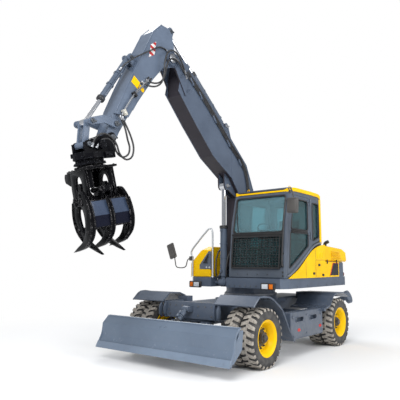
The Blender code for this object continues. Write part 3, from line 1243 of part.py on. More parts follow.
def tool_bracket():
    ear_half = ARM_TIP_HALF
    base_z = GRAPPLE_TOP[1] + ROTATOR_H + BRACKET_PLATE_T
    ears = []
    for side in (-1, 1):
        near = BOOM_X + side * (ear_half + SEAT_GAP)
        xs = tuple(sorted((near, near + side * EAR_T)))
        outline = (arc(ARM_TIP, PIN_BOSS_R + 0.01, -30, 110, 6) + arc(LINK_PIN, PIN_BOSS_R * 0.9, 100, 200, 6)
                   + [(-2.26, 2.96), (-1.74, 3.06)])
        ears.append(plate("X", outline, *xs))
        far = near + side * EAR_T
        for pin in (ARM_TIP, LINK_PIN):
            ears.append(rod((near + side * EAR_T / 2, *pin), (far + side * EAR_T / 2, *pin), PIN_BOSS_R * 0.6, 12))
    low = SEAT_GAP
    ring = rod((0, 0, low), (0, 0, ROTATOR_H), ROTATOR_R * 0.82, 24)
    plate_piece = rod((0, 0, ROTATOR_H - 0.01), (0, 0, ROTATOR_H + BRACKET_PLATE_T), ROTATOR_R, 24)
    base = box((-ear_half - EAR_T, ear_half + EAR_T), (-0.20, 0.32), (ROTATOR_H + 0.01, ROTATOR_H + BRACKET_PLATE_T + 0.02))
    riser = [box(tuple(sorted((s * (ear_half + SEAT_GAP), s * (ear_half + EAR_T)))), (-0.16, 0.30),
                 (ROTATOR_H, ROTATOR_H + 0.20)) for s in (-1, 1)]
    placed = [moved(piece, GRAPPLE_PLACE) for piece in [ring, plate_piece, base] + riser]
    node("tool_bracket", fused(placed + ears), "black", "tool", smooth=False)


tool_bracket()

# Grapple body: head plate and two side plates that hold the claw hinges
CLAW_Y = 0.24
CLAW_Z = -0.47
BODY_HALF_X = 0.30
BODY_T = 0.025
HEAD_HALF = 0.33
LEVER_Y = 0.46
LEVER_Z = -0.33
HUB_TUBE_R = 0.055
body("claw_near", "rotator", GRAPPLE_FRAME @ Matrix.Translation((0, -CLAW_Y, CLAW_Z)))
body("claw_far", "rotator", GRAPPLE_FRAME @ Matrix.Translation((0, CLAW_Y, CLAW_Z)))
body("grapple_barrel", "claw_near", GRAPPLE_FRAME @ Matrix.Translation((0, -LEVER_Y, LEVER_Z)))
body("grapple_rod", "grapple_barrel", GRAPPLE_FRAME @ Matrix.Translation((0, LEVER_Y, LEVER_Z)))


def grapple_body():
    pieces = [rod((0, 0, -HEAD_PLATE_T), (0, 0, 0), HEAD_HALF, 28),
              box((-BODY_HALF_X - BODY_T, BODY_HALF_X + BODY_T), (-HEAD_HALF, HEAD_HALF),
                  (-2 * HEAD_PLATE_T, -HEAD_PLATE_T / 2))]
    outline = ([(-HEAD_HALF, -HEAD_PLATE_T), (-CLAW_Y - 0.10, CLAW_Z + 0.10)]
               + arc((-CLAW_Y, CLAW_Z), HUB_TUBE_R * 1.5, 180, 290, 5) + [(-0.10, CLAW_Z + 0.04)]
               + arc((0, CLAW_Z + 0.10), 0.10, 160, 20, 6)
               + [(0.10, CLAW_Z + 0.04)] + arc((CLAW_Y, CLAW_Z), HUB_TUBE_R * 1.5, 250, 360, 5)
               + [(CLAW_Y + 0.10, CLAW_Z + 0.10), (HEAD_HALF, -HEAD_PLATE_T)])
    for side in (-1, 1):
        near = side * BODY_HALF_X
        xs = tuple(sorted((near, near + side * BODY_T)))
        pieces.append(plate("X", outline, *xs))
        for y in (-CLAW_Y, CLAW_Y):
            far = near + side * BODY_T
            pieces.append(rod((near + side * BODY_T / 2, y, CLAW_Z), (far + side * BODY_T, y, CLAW_Z),
                              HUB_TUBE_R * 0.8, 12))
    node("grapple_body", fused(pieces), "black", "rotator", GRAPPLE_FRAME, smooth=False)


TINE_T = 0.035
TINE_OUTER = ((0.06, 0.02), (0.30, -0.14), (0.37, -0.34), (0.30, -0.54), (0.10, -0.72), (-0.20, -0.80))
TINE_INNER = ((-0.14, -0.72), (0.06, -0.62), (0.20, -0.48), (0.26, -0.32), (0.20, -0.18), (0.02, -0.06))
TINE_X = {"near": (-0.265, 0.0, 0.265), "far": (-0.1325, 0.1325)}
SHELL_T = 0.012


def claw(which, side):
    """Tines on one hinge tube. Side is -1 on the near claw and 1 on the far one."""
    name = "claw_" + which

    def spot(out, up):
        return (side * (CLAW_Y + out), CLAW_Z + up)
    tube_half = BODY_HALF_X - SEAT_GAP
    pieces = [rod((-tube_half, side * CLAW_Y, CLAW_Z), (tube_half, side * CLAW_Y, CLAW_Z), HUB_TUBE_R, 16)]
    outline = [spot(*p) for p in TINE_OUTER] + [spot(*p) for p in TINE_INNER]
    for x in TINE_X[which]:
        pieces.append(plate("X", outline, x - TINE_T / 2, x + TINE_T / 2))
    lever = [spot(0.05, -0.03), spot(0.26, 0.10), spot(0.25, 0.18), spot(0.16, 0.17), spot(-0.04, 0.04)]
    for s in (-1, 1):
        near = s * (0.04 + SEAT_GAP)
        pieces.append(plate("X", lever, *sorted((near, near + s * 0.025))))
    if which == "near":
        web = strip([spot(*p) for p in TINE_OUTER[1:5]][::1], SHELL_T)
        inset = [(y - side * SHELL_T, z) for y, z in web]
        pieces.append(plate("X", inset, TINE_X[which][0], TINE_X[which][-1]))
    else:
        for out, up in ((0.30, -0.26), (0.17, -0.60)):
            y, z = spot(out, up)
            pieces.append(rod((TINE_X[which][0], y, z), (TINE_X[which][-1], y, z), 0.03, 12))
    node(name, fused(pieces), "black", name, GRAPPLE_FRAME, smooth=False)


def grapple_cylinder():
    foot, pin = (0, -LEVER_Y, LEVER_Z), (0, LEVER_Y, LEVER_Z)
    barrel("grapple_barrel", foot, along_way(foot, pin, 0.47), 0.045, 0.025, 0.04, 0.04, 0.41,
           "grapple_barrel", GRAPPLE_FRAME, "black", sides=16)
    cylinder_rod("grapple_rod", along_way(foot, pin, 0.45), pin, 0.025, 0.04, 0.04, "grapple_rod", GRAPPLE_FRAME,
                 sides=16)


grapple_body()
claw("near", -1)
claw("far", 1)
grapple_cylinder()
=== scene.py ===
import math

import bmesh
import bpy
from mathutils import Matrix, Vector


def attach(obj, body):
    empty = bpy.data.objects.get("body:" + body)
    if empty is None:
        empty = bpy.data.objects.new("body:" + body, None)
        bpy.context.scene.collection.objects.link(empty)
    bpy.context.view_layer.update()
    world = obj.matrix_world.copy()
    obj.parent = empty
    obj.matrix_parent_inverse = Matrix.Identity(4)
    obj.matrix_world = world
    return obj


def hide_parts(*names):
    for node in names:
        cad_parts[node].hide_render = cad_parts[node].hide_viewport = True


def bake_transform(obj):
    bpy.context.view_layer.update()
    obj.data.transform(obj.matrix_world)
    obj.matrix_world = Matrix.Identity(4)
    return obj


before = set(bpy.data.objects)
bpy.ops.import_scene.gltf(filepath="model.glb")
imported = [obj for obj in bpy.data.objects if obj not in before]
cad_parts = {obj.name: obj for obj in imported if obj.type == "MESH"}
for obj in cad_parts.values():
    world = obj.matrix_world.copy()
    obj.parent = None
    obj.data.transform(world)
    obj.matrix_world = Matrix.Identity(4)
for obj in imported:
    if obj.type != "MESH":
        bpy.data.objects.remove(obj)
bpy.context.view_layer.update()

# Studio: a white sweep of floor under a white tent, with soft lamps high on the camera's side
# and behind the machine. The camera stands low at the front corner, as in the photograph.
CAMERA_AT = (4.966, -6.743, 1.483)
CAMERA_YAW = math.radians(38.589)
CAMERA_PITCH = math.radians(7.717)
CAMERA_ROLL = math.radians(0.2)
camera_data = bpy.data.cameras.new("camera")
camera_data.sensor_width = 36.0
camera_data.lens = 42.92
camera = bpy.data.objects.new("camera", camera_data)
bpy.context.scene.collection.objects.link(camera)
camera.matrix_world = (Matrix.Translation(CAMERA_AT) @ Matrix.Rotation(CAMERA_YAW, 4, "Z")
                       @ Matrix.Rotation(math.pi / 2 + CAMERA_PITCH, 4, "X") @ Matrix.Rotation(CAMERA_ROLL, 4, "Z"))
bpy.context.scene.camera = camera
bpy.context.scene.view_settings.view_transform = "Standard"


def softbox(name, place, aim, size, watts):
    data = bpy.data.lights.new(name, "AREA")
    data.size = size
    data.energy = watts
    lamp = bpy.data.objects.new(name, data)
    bpy.context.scene.collection.objects.link(lamp)
    lamp.location = place
    lamp.rotation_euler = (Vector(aim) - Vector(place)).to_track_quat("-Z", "Y").to_euler()


softbox("key_softbox", (4.5, -9.0, 9.0), (0.0, -0.5, 1.5), 7.0, 1150)
softbox("side_softbox", (10.5, 1.5, 5.5), (0.0, 0.5, 1.5), 6.0, 520)
softbox("back_softbox", (-7.0, 5.0, 9.0), (0.0, 0.0, 2.0), 7.0, 520)


def add_node(tree, kind, values=None, operation=None, data_type=None):
    """Adds a shader node and gives its sockets their values."""
    made = tree.nodes.new("ShaderNode" + kind)
    if operation:
        made.operation = operation
    if data_type:
        made.data_type = data_type
    for socket, value in (values or {}).items():
        made.inputs[socket].default_value = value
    return made


def wire(tree, *runs):
    """Links sockets. A run is the node and output that it leaves, then the node and input that it enters."""
    for leaving, exit_socket, entering, entry_socket in runs:
        tree.links.new(leaving.outputs[exit_socket], entering.inputs[entry_socket])


def new_material(name, values):
    """A material, its node tree and its shader, whose sockets get the values."""
    made = bpy.data.materials.new(name)
    made.use_nodes = True
    shader = made.node_tree.nodes["Principled BSDF"]
    for socket, value in values.items():
        shader.inputs[socket].default_value = value
    return made, made.node_tree, shader


world = bpy.data.worlds.new("tent")
bpy.context.scene.world = world
world.use_nodes = True
tent = world.node_tree
tent.nodes.clear()
seen = add_node(tent, "LightPath")
either = add_node(tent, "Math", operation="MAXIMUM")
tent_white = add_node(tent, "Background", {"Color": (1, 1, 1, 1), "Strength": 1.0})
tent_fill = add_node(tent, "Background", {"Color": (0.93, 0.96, 1.0, 1), "Strength": 0.50})
tent_mix = add_node(tent, "MixShader")
tent_out = add_node(tent, "OutputWorld")
wire(tent, (seen, "Is Camera Ray", either, 0), (seen, "Is Transmission Ray", either, 1), (either, 0, tent_mix, 0),
     (tent_fill, 0, tent_mix, 1), (tent_white, 0, tent_mix, 2), (tent_mix, 0, tent_out, 0))

floor_mesh = bpy.data.meshes.new("floor")
floor_shape = bmesh.new()
bmesh.ops.create_grid(floor_shape, x_segments=2, y_segments=2, size=60.0)
floor_shape.to_mesh(floor_mesh)
floor_shape.free()
floor = bpy.data.objects.new("floor", floor_mesh)
bpy.context.scene.collection.objects.link(floor)
sweep, sweep_tree, sweep_shader = new_material("white_sweep", {"Base Color": (0.93, 0.93, 0.93, 1), "Roughness": 0.8})
sweep_place = add_node(sweep_tree, "TexCoord")
sweep_far = add_node(sweep_tree, "VectorMath", operation="LENGTH")
sweep_fade = add_node(sweep_tree, "MapRange", {"From Min": 3.2, "From Max": 7.5})
sweep_fade.interpolation_type = "SMOOTHSTEP"
sweep_seen = add_node(sweep_tree, "LightPath")
sweep_both = add_node(sweep_tree, "Math", operation="MULTIPLY")
sweep_glow = add_node(sweep_tree, "Emission")
sweep_mix = add_node(sweep_tree, "MixShader")
wire(sweep_tree, (sweep_place, "Object", sweep_far, 0), (sweep_far, "Value", sweep_fade, "Value"),
     (sweep_fade, 0, sweep_both, 0), (sweep_seen, "Is Camera Ray", sweep_both, 1), (sweep_both, 0, sweep_mix, 0),
     (sweep_shader, 0, sweep_mix, 1), (sweep_glow, 0, sweep_mix, 2),
     (sweep_mix, 0, sweep_tree.nodes["Material Output"], 0))
floor.data.materials.append(sweep)

# Chassis frame: a welded box beam in satin grey-blue enamel that carries the turntable on a
# cone and the blade's bracket at its front. Plates are bolted on with hexagon bolts.
SLATE = (0.086, 0.112, 0.158)
SLATE_DEEP = (0.068, 0.090, 0.130)
ROAD_DUST = (0.34, 0.31, 0.27)


def laid(x, y, z):
    """A point in the machine's layout, with Y from the front axle, as a point in the frame."""
    return Vector((x + 0.08, y - 0.60, z))


def enamel(name, colour, deep, rough=0.32, dust=0.16, dust_top=1.3, metal=0.0, gloss=0.42):
    """Sprayed enamel: slow changes of tone, orange peel and road dust that thins out upwards."""
    made, tree, shader = new_material(name, {"Metallic": metal, "Specular IOR Level": gloss,
                                             "Coat Weight": 0.15 * gloss, "Coat Roughness": 0.25})
    place = add_node(tree, "TexCoord")
    tone = add_node(tree, "TexNoise", {"Scale": 2.2, "Detail": 5.0})
    tint = add_node(tree, "Mix", {"A": (*deep, 1), "B": (*colour, 1)}, data_type="RGBA")
    tone_range = add_node(tree, "MapRange", {"From Min": 0.35, "From Max": 0.60})
    height = add_node(tree, "SeparateXYZ")
    low = add_node(tree, "MapRange", {"From Min": 0.1, "From Max": dust_top, "To Min": dust, "To Max": dust * 0.12})
    specks = add_node(tree, "TexNoise", {"Scale": 14.0, "Detail": 9.0, "Roughness": 0.7})
    speck_range = add_node(tree, "MapRange", {"From Min": 0.42, "From Max": 0.68})
    dusting = add_node(tree, "Math", operation="MULTIPLY")
    dusty = add_node(tree, "Mix", {"B": (*ROAD_DUST, 1)}, data_type="RGBA")
    shine = add_node(tree, "MapRange", {"To Min": rough, "To Max": min(1.0, rough + 0.45)})
    peel = add_node(tree, "TexNoise", {"Scale": 160.0, "Detail": 2.0})
    bump = add_node(tree, "Bump", {"Strength": 0.06, "Distance": 0.002})
    wire(tree, (place, "Object", tone, "Vector"), (place, "Object", specks, "Vector"),
         (place, "Object", peel, "Vector"), (place, "Object", height, 0), (height, "Z", low, "Value"),
         (tone, "Fac", tone_range, "Value"), (tone_range, 0, tint, "Factor"), (specks, "Fac", speck_range, "Value"),
         (speck_range, 0, dusting, 0), (low, 0, dusting, 1), (tint, "Result", dusty, "A"),
         (dusting, 0, dusty, "Factor"), (dusting, 0, shine, "Value"), (dusty, "Result", shader, "Base Color"),
         (shine, 0, shader, "Roughness"), (peel, "Fac", bump, "Height"), (bump, 0, shader, "Normal"))
    return made


def finish(node_name, material):
    """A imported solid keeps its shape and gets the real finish."""
    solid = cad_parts[node_name]
    solid.data.materials.clear()
    solid.data.materials.append(material)
    for polygon in solid.data.polygons:
        polygon.material_index = 0
    return solid


def piece(name, shape, material, body, smooth=True, edge=35):
    """A bmesh in the frame's place becomes a named piece that moves with its body."""
    mesh = bpy.data.meshes.new(name)
    shape.to_mesh(mesh)
    shape.free()
    made = bpy.data.objects.new(name, mesh)
    bpy.context.scene.collection.objects.link(made)
    for one in material if isinstance(material, (list, tuple)) else [material]:
        mesh.materials.append(one)
    if smooth:
        mesh.shade_smooth()
        mesh.set_sharp_from_angle(angle=math.radians(edge))
    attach(made, body)
    return made


def add_block(shape, centre, size, turn=None, bevel=0.0):
    """Adds a box, its edges rounded by the bevel, to the bmesh."""
    made = bmesh.ops.create_cube(shape, size=1.0)["verts"]
    bmesh.ops.scale(shape, vec=size, verts=made)
    if bevel:
        edges = list(dict.fromkeys(e for v in made for e in v.link_edges))
        made = bmesh.ops.bevel(shape, geom=edges, offset=bevel, segments=2, affect="EDGES", profile=0.5)["verts"]
    place = Matrix.Translation(centre) @ (turn.to_4x4() if turn is not None else Matrix.Identity(4))
    bmesh.ops.transform(shape, matrix=place, verts=made)


def add_turning(shape, profile, steps, place):
    """Adds a turned skin to the bmesh. Profile pairs are (radius, height) along the place's Z."""
    rings = []
    for radius, height in profile:
        if radius < 1e-6:
            rings.append([shape.verts.new(place @ Vector((0, 0, height)))])
            continue
        rings.append([shape.verts.new(place @ Vector((radius * math.cos(2 * math.pi * k / steps),
                                                      radius * math.sin(2 * math.pi * k / steps), height)))
                      for k in range(steps)])
    for upper, lower in zip(rings, rings[1:]):
        for k in range(steps):
            corners = [upper[k % len(upper)], lower[k % len(lower)],
                       lower[(k + 1) % len(lower)], upper[(k + 1) % len(upper)]]
            corners = [c for i, c in enumerate(corners) if c not in corners[:i]]
            if len(corners) > 2:
                shape.faces.new(corners)


def stood(point, axis):
    """A place at the point with its Z along the axis."""
    return Matrix.Translation(point) @ Vector(axis).to_track_quat("Z", "X").to_matrix().to_4x4()


def circle(count, radius, turned=0.0):
    """Pairs of coordinates at even steps round a circle."""
    angles = [2 * math.pi * (k + turned) / count for k in range(count)]
    return [(radius * math.cos(angle), radius * math.sin(angle)) for angle in angles]


def face_out(shape):
    """Turns the faces of a mesh outward."""
    bmesh.ops.recalc_face_normals(shape, faces=shape.faces)


def add_bolt(shape, point, axis, radius=0.012, depth=0.009):
    """Adds a hexagon bolt head on its washer, standing on the point along the axis."""
    place = stood(point, axis)
    washer = [(0, depth * 0.25), (radius * 1.35, depth * 0.25), (radius * 1.35, -depth * 0.5), (0, -depth * 0.5)]
    head = [(0, depth), (radius * 0.85, depth), (radius, depth * 0.85), (radius, 0), (0, 0)]
    add_turning(shape, washer, 14, place)
    add_turning(shape, head, 6, place)


slate_paint = enamel("slate_enamel", SLATE, SLATE_DEEP)
finish("chassis_frame", slate_paint)
SIDES = (("left", 1), ("right", -1))
frame_bolts = bmesh.new()
for side in (-1, 1):
    for x, z in ((0.42, 0.84), (0.42, 0.70), (0.45, 0.77), (0.30, 0.84), (0.16, 0.84), (0.16, 0.70)):
        add_bolt(frame_bolts, laid(side * x, -0.26, z), (0, -1, 0), 0.013)
    for y in (0.30, 0.55, 0.80, 2.20, 2.45, 2.85, 3.05):
        add_bolt(frame_bolts, laid(side * 0.36, y, 0.83), (side, 0, 0), 0.012)
PLATE_Y = -0.2605
uprights = bmesh.new()
for side in (-1, 1):
    for x, deep in ((side * 0.585, 0.080), (side * 0.500, 0.065)):
        outline = ((PLATE_Y, 0.640), (PLATE_Y, 0.885), (PLATE_Y - deep * 0.35, 0.885), (PLATE_Y - deep, 0.820),
                   (PLATE_Y - deep, 0.690), (PLATE_Y - deep * 0.35, 0.640))
        flat = [[uprights.verts.new(laid(x + half, y, z)) for y, z in outline] for half in (-0.011, 0.011)]
        uprights.faces.new(flat[0])
        uprights.faces.new(flat[1][::-1])
        for k in range(6):
            uprights.faces.new((flat[0][k], flat[1][k], flat[1][(k + 1) % 6], flat[0][(k + 1) % 6]))
face_out(uprights)
bmesh.ops.bevel(uprights, geom=uprights.edges, offset=0.003, segments=2, affect="EDGES", profile=0.5)
piece("front_plate_uprights", uprights, slate_paint, "chassis")
bolt_steel = enamel("bolt_steel", (0.20, 0.21, 0.23), (0.12, 0.13, 0.15), rough=0.35, metal=0.7)
piece("frame_bolts", frame_bolts, bolt_steel, "chassis")

RING_BOLTS = 30
turntable = bmesh.new()
add_turning(turntable, [(0.455, 0.975), (0.485, 0.975), (0.485, 0.945), (0.47, 0.935)], 48,
            Matrix.Translation(laid(0, 1.50, 0)))
for across, along in circle(RING_BOLTS, 0.468):
    add_bolt(turntable, laid(across, 1.50 + along, 0.975), (0, 0, 1), 0.010, 0.007)
piece("turntable_bolts", turntable, bolt_steel, "chassis")

# Axles and steering knuckles: rough castings in black paint with a skirt of dust, the front
# beam with yokes for the kingpins. The differential's cover is bolted on, oil plug below.
casting = enamel("axle_casting", (0.045, 0.048, 0.055), (0.03, 0.032, 0.036), rough=0.5, dust=0.5)
for node_name in ("front_axle", "rear_axle", "knuckle_left", "knuckle_right"):
    finish(node_name, casting)
AXLE_Z = 0.43
REAR_AXLE_Y = 2.64
KINGPIN_X = 0.62
axle_bolts = bmesh.new()
for axle_y in (0.0, REAR_AXLE_Y):
    for end in (-1, 1):
        for across, up in circle(10, 0.125):
            add_bolt(axle_bolts, laid(across, axle_y + end * 0.17, AXLE_Z + up), (0, end, 0), 0.009)
piece("differential_bolts", axle_bolts, bolt_steel, "chassis")
for side_name, side in SIDES:
    kingpin = bmesh.new()
    for z, up in ((0.59, 1), (0.27, -1)):
        add_turning(kingpin, [(0, 0.016), (0.035, 0.016), (0.042, 0.010), (0.042, 0), (0, 0)], 20,
                    stood(laid(side * KINGPIN_X, 0, z), (0, 0, up)))
        for across, along in circle(3, 0.027):
            add_bolt(kingpin, laid(side * KINGPIN_X + across, along, z + up * 0.016), (0, 0, up), 0.006, 0.005)
    piece("kingpin_caps_" + side_name, kingpin, bolt_steel, "chassis")

# Twin wheels: two block-tread tyres on one yellow disc wheel. The lugs are moulded in two
# rows that lean towards each other, and their worn faces are pale with dried mud.
TYRE_R = 0.43
TYRE_W = 0.24
TWIN_GAP = 0.036
TRACK_OUT = 1.252
LUGS = 26


def worn_rubber(name, colour, spot, rough, speck):
    """Rubber with fine grit, blotched with a second tone."""
    made, tree, shader = new_material(name, {"Roughness": rough})
    place = add_node(tree, "TexCoord")
    grain = add_node(tree, "TexNoise", {"Scale": speck, "Detail": 8.0})
    fade = add_node(tree, "ValToRGB")
    for k, (position, tone) in enumerate(((0.38, colour), (0.64, spot))):
        fade.color_ramp.elements[k].position = position
        fade.color_ramp.elements[k].color = (*tone, 1)
    grit = add_node(tree, "TexNoise", {"Scale": 220.0})
    bump = add_node(tree, "Bump", {"Strength": 0.35, "Distance": 0.003})
    wire(tree, (place, "Object", grain, "Vector"), (place, "Object", grit, "Vector"), (grain, "Fac", fade, 0),
         (fade, 0, shader, "Base Color"), (grit, "Fac", bump, "Height"), (bump, 0, shader, "Normal"))
    return made


sidewall_rubber = worn_rubber("sidewall_rubber", (0.046, 0.045, 0.046), (0.088, 0.084, 0.080), 0.8, 9.0)
tread_face = worn_rubber("worn_tread_faces", (0.42, 0.385, 0.335), (0.24, 0.215, 0.19), 0.9, 30.0)


def add_lug(shape, place, rows, tall):
    """Adds one tread block. Rows are (across, first angle, last angle, foot drop) at its two ends."""
    columns = []
    for across, first, last, drop in rows:
        column = []
        for part in (0.0, 0.5, 1.0):
            angle = first + (last - first) * part
            for radius in (tall - drop, tall - 0.022 - drop):
                corner = Vector((radius * math.cos(angle), radius * math.sin(angle), across))
                column.append(shape.verts.new(place @ corner))
        columns.append(column)
    near, far = columns
    tops = []
    for k in (0, 2):
        tops.append(shape.faces.new((near[k], near[k + 2], far[k + 2], far[k])))
        shape.faces.new((near[k + 1], near[k + 3], near[k + 2], near[k]))
        shape.faces.new((far[k], far[k + 2], far[k + 3], far[k + 1]))
    shape.faces.new((near[0], far[0], far[1], near[1]))
    shape.faces.new((near[5], far[5], far[4], near[4]))
    for face in tops:
        face.material_index = 1


def add_tyre(shape, place, high):
    """Adds a tyre whose outer side is at the height along the wheel's axis."""
    low = high - TYRE_W
    profile = [(0.245, high - 0.020), (0.262, high - 0.014), (0.275, high - 0.010), (0.30, high - 0.002),
               (0.335, high), (0.355, high - 0.003), (0.358, high - 0.006), (0.380, high - 0.009),
               (0.398, high - 0.018), (0.407, high - 0.034), (0.412, (high + low) / 2), (0.407, low + 0.034),
               (0.398, low + 0.018), (0.380, low + 0.009), (0.358, low + 0.006), (0.355, low + 0.003), (0.335, low),
               (0.30, low + 0.002), (0.262, low + 0.014), (0.245, low + 0.020)]
    add_turning(shape, profile, 64, place)
    middle = (high + low) / 2
    pitch = 2 * math.pi / LUGS
    for k in range(LUGS):
        for way, start in ((1, 0.0), (-1, 0.5)):
            base = (k + start) * pitch
            inner = [middle + way * 0.006 - way * 0.020, base, base + pitch * 0.62, 0.0]
            waist = [middle + way * 0.050, base + pitch * 0.22, base + pitch * 0.86, 0.0]
            outer = [middle + way * (TYRE_W / 2 - 0.014), base + pitch * 0.42, base + pitch * 0.98, 0.006]
            rim = [middle + way * (TYRE_W / 2 - 0.003), base + pitch * 0.46, base + pitch * 0.96, 0.040]
            for a, b in ((inner, waist), (waist, outer), (outer, rim)):
                add_lug(shape, place, (a, b), TYRE_R)


wheel_yellow = enamel("wheel_yellow", (0.92, 0.56, 0.003), (0.82, 0.47, 0.003), rough=0.30, dust=0.04, dust_top=0.9,
                      gloss=0.10)
hub_black = enamel("hub_black", (0.022, 0.022, 0.025), (0.015, 0.015, 0.017), rough=0.42, dust=0.4)


def dress_wheel(name, side, axle_y):
    turn = Matrix.Rotation(side * math.pi / 2, 4, "Y")
    place = Matrix.Translation(laid(0.0, axle_y, TYRE_R)) @ turn
    rubber = bmesh.new()
    add_tyre(rubber, place, TRACK_OUT)
    add_tyre(rubber, place, TRACK_OUT - TYRE_W - TWIN_GAP)
    face_out(rubber)
    tyres = piece(name + "_tyres", rubber, [sidewall_rubber, tread_face], name, edge=28)
    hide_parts(name)
    rim = bmesh.new()
    out = TRACK_OUT
    disc = [(0.125, out - 0.145), (0.160, out - 0.140), (0.178, out - 0.128), (0.188, out - 0.100),
            (0.200, out - 0.075), (0.212, out - 0.060), (0.222, out - 0.034), (0.232, out - 0.026),
            (0.250, out - 0.012), (0.262, out - 0.008), (0.268, out - 0.014), (0.262, out - 0.022)]
    add_turning(rim, disc, 56, place)
    well = [(0.262, out - 0.022), (0.236, out - 0.060), (0.222, out - 0.100), (0.222, out - 0.190),
            (0.244, out - 0.225), (0.244, out - 0.29), (0.222, out - 0.33), (0.222, out - 0.44), (0.262, out - 0.500),
            (0.250, out - 0.508), (0.215, out - 0.48), (0.205, out - 0.34), (0.185, out - 0.30), (0.185, out - 0.52),
            (0.0, out - 0.52)]
    add_turning(rim, well, 40, place)
    add_turning(rim, [(0.222, out - 0.046), (0.228, out - 0.040), (0.222, out - 0.036)], 56, place)
    face_out(rim)
    axis = turn.to_3x3() @ Vector((0, 0, 1))
    for a, b in circle(8, 0.182, 0.5):
        add_bolt(rim, place @ Vector((a, b, out - 0.1145)), axis, 0.007, 0.005)
    piece(name + "_rim", rim, wheel_yellow, name)
    hub = bmesh.new()
    drum = [(0, out - 0.034), (0.045, out - 0.034), (0.052, out - 0.040), (0.055, out - 0.060), (0.075, out - 0.066),
            (0.080, out - 0.075), (0.080, out - 0.118), (0.100, out - 0.124), (0.124, out - 0.126),
            (0.124, out - 0.160)]
    add_turning(hub, drum, 32, place)
    for a, b in circle(10, 0.145):
        foot = place @ Vector((a, b, out - 0.143))
        add_bolt(hub, foot, axis, 0.015, 0.020)
        add_turning(hub, [(0, 0.034), (0.008, 0.034), (0.008, 0)], 10, stood(foot, axis))
    for a, b in circle(6, 0.036):
        add_bolt(hub, place @ Vector((a, b, out - 0.034)), axis, 0.005, 0.004)
    face_out(hub)
    piece(name + "_hub", hub, hub_black, name)


for side_name, side in SIDES:
    dress_wheel("wheel_front_" + side_name, side, 0.0)
    dress_wheel("wheel_rear_" + side_name, side, REAR_AXLE_Y)

# Fenders and side steps: each side is folded from sheet and hung on two brackets. The lips are
# rolled, the tread of the step is pierced and raised, and red lenses are riveted to its side.
step_paint = enamel("step_enamel", (0.082, 0.105, 0.148), (0.060, 0.079, 0.114), rough=0.20, dust=0.18, dust_top=1.2)
for side_name in ("left", "right"):
    finish("side_step_" + side_name, step_paint)
FRONT_LIP = ((-0.33, 0.90), (-0.16, 1.03), (0.10, 1.02), (0.24, 0.97), (0.50, 0.80), (0.70, 0.50), (0.86, 0.30))
REAR_LIP = ((2.05, 0.72), (2.26, 0.76), (2.42, 0.92), (2.60, 0.97), (2.90, 0.97), (3.20, 0.88))


def smooth_line(points, spacing):
    """A smooth run through the points, with steps of the spacing."""
    points = [Vector(p) for p in points]
    fine = []
    for k in range(len(points) - 1):
        before = points[k - 1] if k else 2 * points[0] - points[1]
        after = points[k + 2] if k + 2 < len(points) else 2 * points[-1] - points[-2]
        a, b = points[k], points[k + 1]
        for j in range(12):
            t = j / 12
            fine.append(0.5 * (2 * a + (b - before) * t + (2 * before - 5 * a + 4 * b - after) * t * t
                               + (3 * a - before - 3 * b + after) * t ** 3))
    fine.append(points[-1])
    total = sum((b - a).length for a, b in zip(fine, fine[1:]))
    count = max(2, round(total / spacing))
    laid_out, along, k = [fine[0]], 0.0, 0
    for j in range(1, count):
        want = total * j / count
        while along + (fine[k + 1] - fine[k]).length < want:
            along += (fine[k + 1] - fine[k]).length
            k += 1
        part = (want - along) / (fine[k + 1] - fine[k]).length
        laid_out.append(fine[k].lerp(fine[k + 1], part))
    return laid_out + [fine[-1]]


def add_pipe(shape, line, radius, sides):
    """Adds a round pipe or hose along the line, its ends closed."""
    line = [Vector(p) for p in line]
    rings = []
    side_way = (line[1] - line[0]).normalized().orthogonal().normalized()
    for k, point in enumerate(line):
        way = (line[min(k + 1, len(line) - 1)] - line[max(k - 1, 0)]).normalized()
        side_way = (side_way - way * side_way.dot(way)).normalized()
        other = way.cross(side_way)
        rings.append([shape.verts.new(point + (side_way * math.cos(2 * math.pi * j / sides)
                                               + other * math.sin(2 * math.pi * j / sides)) * radius)
                      for j in range(sides)])
    for first, second in zip(rings, rings[1:]):
        for j in range(sides):
            shape.faces.new((first[j], first[(j + 1) % sides], second[(j + 1) % sides], second[j]))
    shape.faces.new(rings[0][::-1])
    shape.faces.new(rings[-1])


